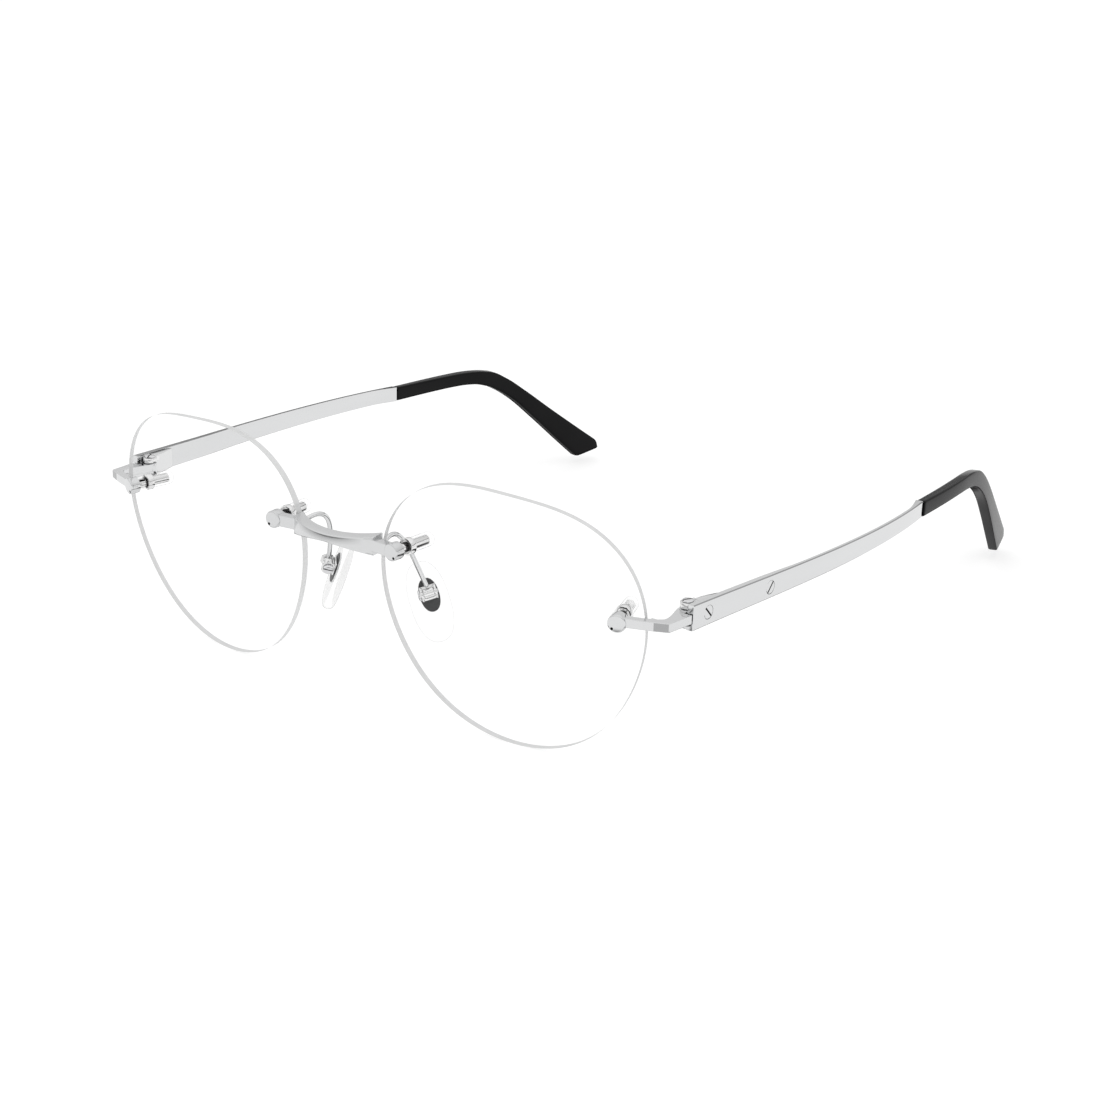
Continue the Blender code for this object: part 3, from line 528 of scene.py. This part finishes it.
# ------------------------------------------------------- pins, ferrules, sleeves
def make_mount(side, s, tag, uw, pin_end, cap_end):
    m = mount_matrix(s, uw)
    back = LENS_THICK
    # polished pin with a rounded tail
    prof = [(0, BOSS_FRONT - 0.76), (PIN_R - 0.04, BOSS_FRONT - 0.76),
            (PIN_R - 0.005, BOSS_FRONT - 0.8), (PIN_R - 0.005, -pin_end + 0.25),
            (PIN_R * 0.9, -pin_end + 0.12), (PIN_R * 0.6, -pin_end + 0.02), (0, -pin_end + 0.01)]
    piece("%s_pin_%s_fine" % (tag, side), [lathe(prof, 32, m)], "front",
          "%s_pin_%s" % (tag, side), [M_PIN], 35)
    f0, f1, fr = -back - 0.055, -back - FERRULE_L + 0.005, FERRULE_R - 0.005
    prof = [(fr - 0.1, f0), (fr - 0.03, f0 - 0.03), (fr, f0 - 0.1), (fr, f1 + 0.1),
            (fr - 0.03, f1 + 0.03), (fr - 0.1, f1), (HOLE_R + 0.05, f1),
            (HOLE_R + 0.005, f1 + 0.06), (HOLE_R + 0.005, f0 - 0.06), (HOLE_R + 0.05, f0),
            (fr - 0.1, f0)]
    piece("%s_ferrule_%s_fine" % (tag, side), [lathe(prof, 64, m)], "front",
          "%s_ferrule_%s" % (tag, side), [M_BRIGHT], 35)
    r_in, r_small, r_big = PIN_R + 0.05, HOLE_R - 0.06, 1.31
    step = -back - FERRULE_L - 0.055
    prof = [(0.0, -pin_end - 0.15), (r_in, -pin_end - 0.15), (r_in, -0.06), (r_small, -0.06),
            (r_small, step), (r_big - 0.08, step), (r_big, step - 0.08)]
    cap0 = -cap_end + r_big * 0.8
    for i in range(0, 11):
        a = math.pi / 2 * i / 10
        prof.append((r_big * math.cos(a), cap0 - (cap0 + cap_end) * math.sin(a)))
    prof[-1] = (0.0, -cap_end + 0.005)
    piece("%s_sleeve_%s_fine" % (tag, side), [lathe(prof, 64, m)], "front",
          "%s_sleeve_%s" % (tag, side), [M_SLEEVE], 40)


def boss(s, uw, free_side):
    """turned boss in front of the lens, with a small dimple painted near-black as its shade."""
    m = mount_matrix(s, uw)
    prof = [(0, BOSS_FRONT - 0.005), (BOSS_R - 0.26, BOSS_FRONT - 0.005)]
    for i in range(1, 6):
        a = math.pi / 2 * i / 5
        prof.append((BOSS_R - 0.26 + 0.25 * math.sin(a), BOSS_FRONT - 0.255 + 0.25 * math.cos(a)))
    prof += [(BOSS_R - 0.01, 0.3), (BOSS_R - 0.05, 0.11), (0, 0.11)]
    disc = lathe(prof, 72, m)
    # the dimple's walls take the near-black recess colour: painted shade
    pit = lathe([(0, 3), (0.25, 3), (0.25, BOSS_FRONT - 0.35), (0, BOSS_FRONT - 0.42)], 24,
                m @ Matrix.Translation((free_side * 0.75 * MM, -0.85 * MM, 0)),
                mat_of=lambda k: 1)
    cut(disc, pit)
    return disc


# --------------------------------------------------------------------- bridge
def bridge_section(x):
    a = abs(x) / 9.0
    return (-4.8 + 2.5 * a ** 2, -2.65 + 2.9 * a ** 2.4, 32.76 + 0.62 * a ** 1.8,
            31.27 - 1.2 * a ** 1.5)


def make_bridge():
    rings = []
    n = 90
    ch, up = 0.25, BRIDGE_LEAN
    for i in range(n + 1):
        x = -8.995 + 17.99 * i / n
        a = abs(x) / 9.0
        yf, yb, zt, zb = bridge_section(x)
        cove = 0.1 * (1 - a ** 2.2)
        ring = []
        m = 10
        for j in range(m + 1):
            v = j / m
            ring.append((x, yf + 0.005 + cove * 4 * v * (1 - v),
                         zb + 0.12 + (zt - ch - zb - 0.12) * v))
        ring += [(x, yf + ch, zt - 0.005), (x, yb - 0.15, zt + up - 0.005),
                 (x, yb - 0.045, zt + up - 0.045), (x, yb - 0.005, zt + up - 0.15),
                 (x, yb - 0.005, zb + up + 0.15), (x, yb - 0.045, zb + up + 0.045),
                 (x, yb - 0.15, zb + up + 0.005), (x, yf + 0.12, zb + 0.005)]
        rings.append(ring)
    parts = [loft(rings, end_bevel=0.06)]
    for s in (1, -1):
        x0, x1 = sorted((-4.9 * s, 0.0 * s))
        parts.append(block(x0, x1, -1.04, 1.04, 0.15, 1.775, 0.09, mount_matrix(s, MOUNT_N)))
        parts.append(boss(s, MOUNT_N, s))
    piece("bridge_fine", parts, "front", "bridge", [M_BRIDGE, M_SLOT_PAINTED_SHADE], 24, True)


# ------------------------------------------------------------------ endpieces
def lens_world(u, w, t):
    return (mount_matrix(1, (u, w)) @ Vector((0, 0, t * MM))) / MM


def knuckle(r, z0, z1, bore=0.0, matrix=None):
    c = 0.12
    prof = [(0, z1) if bore <= 0 else (bore, z1), (r - c, z1), (r - c * 0.3, z1 - c * 0.3),
            (r, z1 - c), (r, z0 + c), (r - c * 0.3, z0 + c * 0.3), (r - c, z0),
            (0, z0) if bore <= 0 else (bore, z0)]
    if bore > 0:
        prof.append((bore, z1))
    return lathe(prof, 56, matrix)


def make_endpiece(side, s):
    outer = [lens_world(u, MOUNT_T[1], 1.715) for u in (20.4, 21.5, 22.6, 23.7, 24.8, 25.7, 26.6)]
    inner = [lens_world(u, MOUNT_T[1], 0.325) for u in (24.6, 23.2, 21.8, 20.4)]
    sweep = [(HINGE_X + 1.14 * math.cos(a), HINGE_Y + 1.14 * math.sin(a))
             for a in (-0.6, -0.2, 0.2, 0.65, 1.1, 1.55, 2.0, 2.45, 2.9)]
    pts = [(p.x, p.y) for p in outer] + \
        [(side_x(5.05) - 0.005, 5.07), (side_x(10.64) - 0.005, 10.645), (62.445, 10.645),
         (62.39, 12.0)] + sweep + \
        [(60.26, 12.6), (60.46, 11.4), (60.91, 9.9), (61.31, 8.4), (61.505, 7.1), (61.355, 6.3),
         (60.6, 5.61)] + [(p.x, p.y) for p in inner]
    pts = [(s * x, y) for x, y in pts]
    arm = slab(pts, ARM_Z - ARM_H / 2 + 0.005, ARM_Z + ARM_H / 2 - 0.005, 0.1, None, 17)
    # faces turned towards one set direction take the darker steel: painted dark reflection on the
    # facet
    for p in arm.data.polygons:
        if abs(p.normal.z) < 0.2 and s * p.normal.x * 0.412 - p.normal.y * 0.911 > 0.998:
            p.material_index = 2
    parts = [arm]
    parts.append(block(*sorted((s * 59.16, s * 60.29)), 4.21, 6.34, 28.06, 28.94, 0.08))
    # wedge under the arm, swelling towards the temple
    rings = []
    for i in range(9):
        f = i / 8
        y = 8.62 + 2.0 * f
        xo = side_x(y) - 0.02
        xi = side_x(10.65) - 1.19
        zb = 27.68 - 1.02 * f
        rings.append(mirror_ring([(xi, y, 28.2), (xo - 0.02, y, 28.2), (xo - 0.02, y, 27.86 - 0.2 * f),
                                  (xo - 0.08 - 0.22 * f, y, zb + 0.1 + 0.12 * f),
                                  (xo - 0.2 - 0.27 * f, y, zb + 0.02), (xi, y, zb + 0.02)], s))
    parts.append(loft(rings, end_bevel=0.03))
    at = Matrix.Translation((s * HINGE_X * MM, HINGE_Y * MM, 0))
    z0, z1 = KNUCKLE_Z
    parts.append(block(*sorted((s * 61.01, s * 62.29)), 9.61, 12.89, z0 + 0.02, z1 - 0.04, 0.06))
    parts.append(knuckle(KNUCKLE_R - 0.005, z0 + 0.005, z1 - 0.005, 0.605, at))
    parts.append(boss(s, MOUNT_T, -s))
    piece("endpiece_%s_fine" % side, parts, "front", "endpiece_" + side,
          [M_STEEL, M_SLOT_PAINTED_SHADE, M_STEEL_PAINTED_DARK], 19, True)


# -------------------------------------------------------------------- temples
def face_matrix(s, y, z):
    x = temple_x(y)
    dx = temple_x(y + 0.5) - temple_x(y - 0.5)
    n = Vector((s, -dx, 0)).normalized()
    xa = Vector((0, 0, 1)).cross(n).normalized()
    rot = Matrix((xa, n.cross(xa), n)).transposed().to_4x4()
    return Matrix.Translation((s * x * MM, y * MM, z * MM)) @ rot


def seat(s, k):
    y, depth = ((SCREW_Y[0], 2.0), (SCREW_Y[1], 0.86))[k]
    # seat floor and screw hole take the near-black recess colour: painted shade
    return lathe([(0, 1.0), (SCREW_HEAD + 0.018, 1.0), (SCREW_HEAD + 0.018, -0.46), (0.55, -0.46),
                  (0.55, -depth - 0.09),
                  (0, -depth - 0.09)], 48, face_matrix(s, y, 28.6 if k == 0 else 28.3),
                 mat_of=lambda q: 1 if q >= 2 else 0)


def make_temple(side, s):
    rings = []
    n = 150
    for i in range(n + 1):
        y = TEMPLE_Y0 + 0.005 + (90.55 - TEMPLE_Y0) * i / n
        xo, t = temple_x(y) - 0.004, sample(TEMPLE_T, y) - 0.008
        zt, zb = sample(TEMPLE_TOP, y) - 0.004, sample(TEMPLE_BOT, y) + 0.004
        c = 0.17
        ring = [(xo, y, zb + c), (xo, y, zt - c), (xo - c, y, zt), (xo - t + 0.07, y, zt),
                (xo - t, y, zt - 0.07), (xo - t, y, zb + 0.07), (xo - t + 0.07, y, zb),
                (xo - c, y, zb)]
        rings.append(mirror_ring(ring, s))
    # the two top chamfers (faces 1 and 3) take the darker steel: painted dark reflection
    body = loft(rings, end_bevel=0.06, mat_of=lambda k, i: 2 if i in (1, 3) else 0)
    for k in (0, 1):
        cut(body, seat(s, k))
    # wire core inside the black tip
    core = []
    for y, f in ((90.4, 0.42), (100.0, 0.4), (110.0, 0.38), (116.0, 0.38), (119.9, 0.38)):
        xm, zt, zb = sample(TIP_X, y), sample(TIP_R, y), sample(TIP_F, y)
        h, zc = (zt - zb) * f / 2 - 0.02, (zt + zb) / 2
        core.append(mirror_ring([(xm + 0.43, y, zc - h), (xm + 0.43, y, zc + h),
                                 (xm - 0.43, y, zc + h), (xm - 0.43, y, zc - h)], s))
    piece("temple_%s_fine" % side, [body, loft(core)], "temple_" + side, "temple_" + side,
          [M_STEEL, M_SLOT_PAINTED_SHADE, M_STEEL_PAINTED_DARK], 24)


def rounded(hw, t, rad, seg=5, crown=0.0):
    pts = []
    for cx, cy, a0 in ((hw - rad, t - rad, 0), (-hw + rad, t - rad, 90),
                       (-hw + rad, -t + rad, 180), (hw - rad, -t + rad, 270)):
        for i in range(seg + 1):
            a = math.radians(a0 + 90.0 * i / seg)
            pts.append((cx + rad * math.cos(a), cy + rad * math.sin(a)))
        if a0 in (0, 180):
            sg = 1 if a0 == 0 else -1
            for q in (0.5, 0.0, -0.5):
                pts.append((sg * q * (hw - rad), sg * (t + crown * (1 - q * q))))
    return pts


def tip_ring(s, f, shrink=1.0, out=0.0):
    yr = 90.9 + (161.5 - 90.9) * f
    yf = 90.9 + (152.0 - 90.9) * f
    a = Vector((sample(TIP_X, yr), yr, sample(TIP_R, yr)))
    b = Vector((sample(TIP_X, yf), yf, sample(TIP_F, yf)))
    a -= (a - b).normalized() * (1.5 * max(0.0, (f - 0.95) / 0.035) ** 1.5)
    t = sample(TIP_T, (yr + yf) / 2) / 2
    mid, half = (a + b) / 2, (a - b) / 2
    e1 = half.normalized()
    e2 = Vector((1, 0, 0))
    e2 = (e2 - e1 * e2.dot(e1)).normalized()
    hw = half.length
    return [(s * q.x, q.y, q.z) for q in
            (mid + e1 * p * shrink + e2 * r * shrink
             for p, r in rounded(hw - 0.005, t - 0.045, 0.48, 5, 0.035))]


def make_tip(side, s):
    rings = [tip_ring(s, 0.0005, 0.80), tip_ring(s, 0.001, 0.93), tip_ring(s, 0.004, 0.985),
             tip_ring(s, 0.009)]
    fs = [0.01 + 0.975 * i / 110 for i in range(1, 111)]
    rings += [tip_ring(s, f) for f in fs]
    last = rings[-1]
    m = len(last)
    c = Vector([sum(p[i] for p in last) / m for i in range(3)])
    q = Vector([sum(p[i] for p in rings[-8]) / m for i in range(3)])
    d = (c - q).normalized()
    for k in range(1, 7):
        a = math.pi / 2 * k / 6
        adv, sc = 0.88 * math.sin(a), 1 - 0.34 * (1 - math.cos(a))
        rings.append([tuple(c + (Vector(p) - c) * sc + d * adv) for p in last])
    piece("temple_tip_%s_fine" % side, [loft(rings)], "temple_" + side, "temple_tip_" + side,
          [M_TIP], 38)


def screw_head(matrix, r, top, seat_z, shank_r, depth, ang, slot_w, slot_z):
    prof = [(0, top + 0.012), (r * 0.6, top + 0.008), (r - 0.1, top + 0.001), (r - 0.07, top),
            (r - 0.02, top - 0.03),
            (r, top - 0.08), (r, seat_z), (shank_r, seat_z), (shank_r, -depth + 0.08),
            (shank_r - 0.08, -depth), (0, -depth)]
    head = lathe(prof, 48, matrix)
    slot = block(-2 * r, 2 * r, -slot_w, slot_w, slot_z, top + 1, 0.0,
                 matrix @ Matrix.Rotation(math.radians(ang), 4, "Z"))
    # slot walls take the near-black recess colour: painted shade
    for p in slot.data.polygons:
        p.material_index = 1
    cut(head, slot)
    return head


def make_temple_screws(side, s):
    for k, (y, depth, ang) in enumerate(((SCREW_Y[0], 2.0, -46), (SCREW_Y[1], 0.88, 50))):
        m = face_matrix(s, y, 28.6 if k == 0 else 28.3)
        node = ("hinge_leaf_screw_" if k == 0 else "temple_screw_") + side
        head = screw_head(m, SCREW_HEAD - 0.005, -0.005, -0.42, 0.5, depth - 0.01, s * ang, 0.15,
                          -0.24)
        piece(node + "_fine", [head], "temple_" + side, node, [M_STEEL, M_SLOT_PAINTED_SHADE],
              35)


def make_leaf(side, s):
    rings = []
    for y, t in ((14.56, 1.34), (15.5, 1.3), (16.5, 1.25), (17.6, 1.02), (18.6, 0.75),
                 (19.6, 0.48), (20.38, 0.3)):
        x1 = temple_x(y) - sample(TEMPLE_T, y) - 0.055
        x0 = x1 - t
        zt, zb, c = 30.44 - (y - 14.55) * 0.02, 26.51, 0.12
        rings.append(mirror_ring([(x1, y, zb), (x1, y, zt), (x0 + c, y, zt),
                                  (x0 + 0.03, y, zt - 0.04), (x0, y, zt - c),
                                  (x0, y, zb + c), (x0 + 0.03, y, zb + 0.04),
                                  (x0 + c, y, zb)], s))
    plate = loft(rings, end_bevel=0.04)
    for face in plate.data.polygons:
        face.material_index = 2
    cut(plate, seat(s, 0))
    at = Matrix.Translation((s * HINGE_X * MM, HINGE_Y * MM, 0))
    parts = [plate]
    for z0, z1 in ((KNUCKLE_Z[1] + 0.07, 30.35), (26.45, KNUCKLE_Z[0] - 0.07)):
        web = block(*sorted((s * -0.34, s * 1.19)), 0.21, 2.19, z0 + 0.02, z1 - 0.02, 0.05, at)
        cut(web, lathe([(0, z1 + 1), (0.6, z1 + 1), (0.6, z0 - 1), (0, z0 - 1)], 48, at))
        parts.append(web)
        parts.append(knuckle(KNUCKLE_R - 0.005, z0 + 0.005, z1 - 0.005, 0.605, at))
    piece("hinge_leaf_%s_fine" % side, parts, "temple_" + side, "hinge_leaf_" + side,
          [M_BRIGHT, M_SLOT_PAINTED_SHADE, M_LEAF], 28, True)


def make_hinge_screw(side, s):
    at = Matrix.Translation((s * HINGE_X * MM, HINGE_Y * MM, 0))
    prof = [(0, 30.745), (0.7, 30.735), (0.88, 30.69), (0.97, 30.6), (0.975, 30.41),
            (0.525, 30.4), (0.525, 26.45), (0.45, 26.405), (0, 26.405)]
    head = lathe(prof, 48, at)
    slot = block(-1.3, 1.3, -0.13, 0.13, 30.5, 31.3, 0.0,
                 at @ Matrix.Rotation(math.radians(s * 62), 4, "Z"))
    # slot walls take the near-black recess colour: painted shade
    for p in slot.data.polygons:
        p.material_index = 1
    cut(head, slot)
    piece("hinge_screw_%s_fine" % side, [head], "front", "hinge_screw_" + side,
          [M_SCREW, M_SLOT_PAINTED_SHADE], 35)


# --------------------------------------------------------- pad arms, nose pads
PAD_N = Vector((0.627, -0.728, 0.276)).normalized()
PAD_L = Vector((-0.400, 0.002, 0.916))
PAD_L = (PAD_L - PAD_N * PAD_L.dot(PAD_N)).normalized()
PAD_W = PAD_L.cross(PAD_N)
SCREW_C = (1.95, 1.7, 0.25)
CHEEK_R = 1.3


def pad_matrix(s, off=(0, 0, 0)):
    x, y, z = PAD_W, PAD_L, PAD_N
    if s < 0:
        x = Vector((PAD_W.x, -PAD_W.y, -PAD_W.z))
        y = Vector((-PAD_L.x, PAD_L.y, PAD_L.z))
        z = Vector((-PAD_N.x, PAD_N.y, PAD_N.z))
    rot = Matrix((x, y, z)).transposed().to_4x4()
    c = Vector((s * PAD_C[0], PAD_C[1], PAD_C[2]))
    c = c + x * off[0] + y * off[1] + z * off[2]
    return Matrix.Translation(c * MM) @ rot


def oval_ring(a, b, n, power, z, y0=0.0):
    pts = []
    for i in range(n):
        th = 2 * math.pi * i / n
        c, q = math.cos(th), math.sin(th)
        pts.append((math.copysign(abs(c) ** (2 / power), c) * b,
                    y0 + math.copysign(abs(q) ** (2 / power), q) * a, z))
    return pts


def pillow(a, b, power, z0, z1, r, crown0, crown1, n=72, y0=0.0, matrix=None):
    """soft-edged oval solid between z0 and z1, crowned on both faces."""
    rings = []
    for f in (0.15, 0.4, 0.65, 0.85):
        rings.append(oval_ring((a - r) * f, (b - r) * f, n, 2.0 + (power - 2.0) * f,
                               z0 - crown0 * (1 - f * f), y0))
    for i in range(6):
        q = math.pi / 2 * i / 5
        rings.append(oval_ring(a - r + r * math.sin(q), b - r + r * math.sin(q), n, power,
                               z0 + r - r * math.cos(q), y0))
    for i in range(6):
        q = math.pi / 2 * i / 5
        rings.append(oval_ring(a - r + r * math.cos(q), b - r + r * math.cos(q), n, power,
                               z1 - r + r * math.sin(q), y0))
    for f in (0.85, 0.65, 0.4, 0.15):
        rings.append(oval_ring((a - r) * f, (b - r) * f, n, 2.0 + (power - 2.0) * f,
                               z1 + crown1 * (1 - f * f), y0))
    return loft(rings, matrix)


def make_pad(side, s):
    m = pad_matrix(s)
    hub = pad_matrix(s, (s * SCREW_C[2], SCREW_C[1], SCREW_C[0]))
    mi = pad_matrix(s, (s * SCREW_C[2], 0, 0))
    pad = pillow(PAD_A - 0.01, PAD_B - 0.01, 2.4, PAD_OUT - PAD_T + 0.01, PAD_OUT - 0.01, 0.8,
                 0.0, -0.12, 88, 0.0, m)
    pocket = loft([oval_ring(3.12, 1.82, 56, 2.2, z, INSERT_UP)
                   for z in (PAD_OUT - 0.45, PAD_OUT + 1.0)], mi)
    cut(pad, pocket)
    piece("nose_pad_%s_fine" % side, [pad], "pad_" + side, "nose_pad_" + side, [M_PAD],
          40)
    plate = pillow(3.045, 1.745, 2.2, PAD_OUT - 0.395, PAD_OUT - 0.005, 0.12, 0.0, 0.0, 56,
                   INSERT_UP, mi)
    for p in plate.data.polygons:
        p.material_index = 0 if p.center.z > (PAD_OUT - 0.12) * MM else 1
    piece("pad_insert_%s_fine" % side, [plate], "pad_" + side, "pad_insert_" + side,
          [M_CORE, M_BRIGHT], 40)
    z0 = PAD_OUT - SCREW_C[0]
    parts = [block(-1.445, 1.445, -1.295, 1.295, z0 + 0.035, z0 + 0.345, 0.08, hub)]
    for x in (-1.445, 1.055):
        c, r = 0.07, CHEEK_R - 0.005
        cheek = lathe([(0.455, x * -1 - 0.39), (r - c, x * -1 - 0.39), (r, x * -1 - 0.39 + c),
                       (r, x * -1 - c), (r - c, x * -1), (0.455, x * -1), (0.455, x * -1 - 0.39)],
                      56, hub @ Matrix.Rotation(-math.pi / 2, 4, "Y"))
        parts.append(cheek)
    piece("pad_cradle_%s_fine" % side, parts, "pad_" + side, "pad_cradle_" + side, [M_BRIGHT],
          30)
    turn = hub @ Matrix.Rotation(math.pi / 2, 4, "Y")
    c = 0.1
    cup = lathe([(0.46, 0.945), (0.87 - c, 0.945), (0.87, 0.945 - c), (0.87, -0.945 + c),
                 (0.87 - c, -0.945), (0.46, -0.945), (0.46, 0.945)], 48, turn)
    piece("pad_arm_cup_%s_fine" % side, [cup], "front", "pad_arm_cup_" + side, [M_BRIGHT],
          35)
    flip = hub @ (Matrix.Rotation(-math.pi / 2, 4, "Y") if s > 0
                  else Matrix.Rotation(math.pi / 2, 4, "Y"))
    prof = [(0, 1.945), (0.6, 1.935), (0.8, 1.89), (0.925, 1.79), (0.945, 1.525),
            (0.375, 1.525), (0.375, -1.6), (0.33, -1.645), (0, -1.645)]
    screw = lathe(prof, 40, flip)
    slot = block(-1.2, 1.2, -0.1, 0.1, 1.74, 3, 0.0, flip)
    # slot walls take the near-black recess colour: painted shade
    for p in slot.data.polygons:
        p.material_index = 1
    cut(screw, slot)
    piece("pad_screw_%s_fine" % side, [screw], "front", "pad_screw_" + side,
          [M_SCREW, M_SLOT_PAINTED_SHADE], 35)
    end = hub @ Vector((0, 1.33 * MM, 0.25 * MM)) / MM
    p = [Vector((9.0, 0.62, 31.9)), Vector((7.6, 6.3, 34.2)), Vector((9.0, 7.4, 28.3)),
         Vector((abs(end.x), end.y, end.z))]
    pts = []
    for i in range(61):
        t = i / 60
        q = (p[0] * (1 - t) ** 3 + p[1] * 3 * (1 - t) ** 2 * t + p[2] * 3 * (1 - t) * t * t
             + p[3] * t ** 3)
        pts.append((s * q.x, q.y, q.z))
    piece("pad_arm_%s_fine" % side, [rod(pts, 0.415)], "front", "pad_arm_" + side, [M_WIRE],
          50)


# -------------------------------------------------------------- build, studio
make_bridge()
for side, s in (("left", 1), ("right", -1)):
    make_lens(side, s)
    make_mount(side, s, "temple", MOUNT_T, 6.25, 7.3)
    make_mount(side, s, "nose", MOUNT_N, 6.8, 8.0)
    make_endpiece(side, s)
    make_hinge_screw(side, s)
    make_temple(side, s)
    make_leaf(side, s)
    make_tip(side, s)
    make_temple_screws(side, s)
    make_pad(side, s)


def make_floor():
    bm = bmesh.new()
    n, half = 24, 9.0
    rows = [[bm.verts.new((-half + 2 * half * i / n, -half + 2 * half * j / n, 0.0))
             for i in range(n + 1)] for j in range(n + 1)]
    for a, b in zip(rows, rows[1:]):
        for i in range(n):
            bm.faces.new((a[i], a[i + 1], b[i + 1], b[i]))
    me = bpy.data.meshes.new("studio_floor")
    bm.to_mesh(me)
    bm.free()
    ob = bpy.data.objects.new("studio_floor", me)
    scene.collection.objects.link(ob)
    me.materials.append(surface("floor_paper", (0.55, 0.55, 0.55), 0.9, 0.0, 0.004, 0.03, 40.0,
                                bump=0.0, spec=0.0, glow=1.02))
    ob.visible_glossy = False


def make_world():
    world = bpy.data.worlds.new("studio")
    scene.world = world
    world.use_nodes = True
    nt = world.node_tree
    bg = nt.nodes["Background"]
    co = nt.nodes.new("ShaderNodeTexCoord")
    sep = nt.nodes.new("ShaderNodeSeparateXYZ")
    nt.links.new(co.outputs["Generated"], sep.inputs["Vector"])
    mr = nt.nodes.new("ShaderNodeMapRange")
    mr.inputs["From Min"].default_value = -1.0
    mr.inputs["From Max"].default_value = 1.0
    nt.links.new(sep.outputs["Z"], mr.inputs["Value"])
    # height of the direction, brightness: pale walls with a few dark strips
    fore = ((-1.0, 0.9), (-0.69, 0.9), (-0.66, 0.25), (-0.61, 0.25), (-0.56, 1.0), (0.0, 1.0),
            (0.18, 1.0), (0.20, 0.06), (0.24, 0.06), (0.265, 0.80), (0.50, 0.78), (0.60, 0.80),
            (0.68, 0.92), (1.0, 0.97))
    aft = ((-1.0, 0.9), (-0.66, 0.9), (-0.62, 0.03), (-0.44, 0.03), (-0.405, 1.0), (0.0, 1.0),
           (0.16, 1.0), (0.18, 0.04), (0.24, 0.04), (0.265, 0.80), (0.50, 0.78), (0.60, 0.80),
           (0.68, 0.92), (1.0, 0.97))
    ramps = []
    for heights in (fore, aft):
        ramp = nt.nodes.new("ShaderNodeValToRGB")
        nt.links.new(mr.outputs["Result"], ramp.inputs["Fac"])
        stops = [((z + 1) / 2, v) for z, v in heights]
        el = ramp.color_ramp.elements
        el[0].position, el[0].color = stops[0][0], (stops[0][1],) * 3 + (1,)
        el[1].position, el[1].color = stops[-1][0], (stops[-1][1],) * 3 + (1,)
        for pos, v in stops[1:-1]:
            e = el.new(pos)
            e.color = (v, v, v, 1)
        ramps.append(ramp)
    half = nt.nodes.new("ShaderNodeMapRange")
    half.interpolation_type = "SMOOTHSTEP"
    half.inputs["From Min"].default_value = 0.1
    half.inputs["From Max"].default_value = 0.4
    nt.links.new(sep.outputs["Y"], half.inputs["Value"])
    mix = nt.nodes.new("ShaderNodeMix")
    mix.data_type = "RGBA"
    nt.links.new(half.outputs["Result"], mix.inputs[0])
    nt.links.new(ramps[0].outputs["Color"], mix.inputs[6])
    nt.links.new(ramps[1].outputs["Color"], mix.inputs[7])
    nt.links.new(mix.outputs[2], bg.inputs["Color"])
    bg.inputs["Strength"].default_value = 1.0


def add_area(name, loc, target, size, power):
    li = bpy.data.lights.new(name, "AREA")
    li.shape = "SQUARE"
    li.size = size
    li.energy = power
    ob = bpy.data.objects.new(name, li)
    scene.collection.objects.link(ob)
    d = Vector(target) - Vector(loc)
    ob.matrix_world = Matrix.Translation(loc) @ d.to_track_quat("-Z", "Y").to_matrix().to_4x4()
    ob.visible_glossy = False
    return ob


def make_camera():
    az, el, roll = math.radians(34.90), math.radians(19.20), math.radians(1.94)
    b = Vector((math.sin(az) * math.cos(el), -math.cos(az) * math.cos(el), math.sin(el)))
    r0 = Vector((math.cos(az), math.sin(az), 0))
    u0 = b.cross(r0)
    r = r0 * math.cos(roll) + u0 * math.sin(roll)
    u = u0 * math.cos(roll) - r0 * math.sin(roll)
    cam = bpy.data.cameras.new("camera")
    cam.sensor_fit = "HORIZONTAL"
    cam.sensor_width = 36.0
    cam.lens = 36.0 * 1862.0 / 1120.0
    cam.clip_start = 0.01
    cam.clip_end = 50.0
    ob = bpy.data.objects.new("camera", cam)
    scene.collection.objects.link(ob)
    rot = Matrix((r, u, b)).transposed().to_4x4()
    ob.matrix_world = Matrix.Translation(Vector((0.20318, -0.22587, 0.13303)) + SHIFT) @ rot
    scene.camera = ob


make_floor()
make_world()
add_area("top_softbox", (0.0, 0.02, 1.3), (0.0, 0.0, 0.0), 1.8, 2.0)
make_camera()
scene.view_settings.view_transform = "Standard"
scene.view_settings.look = "None"
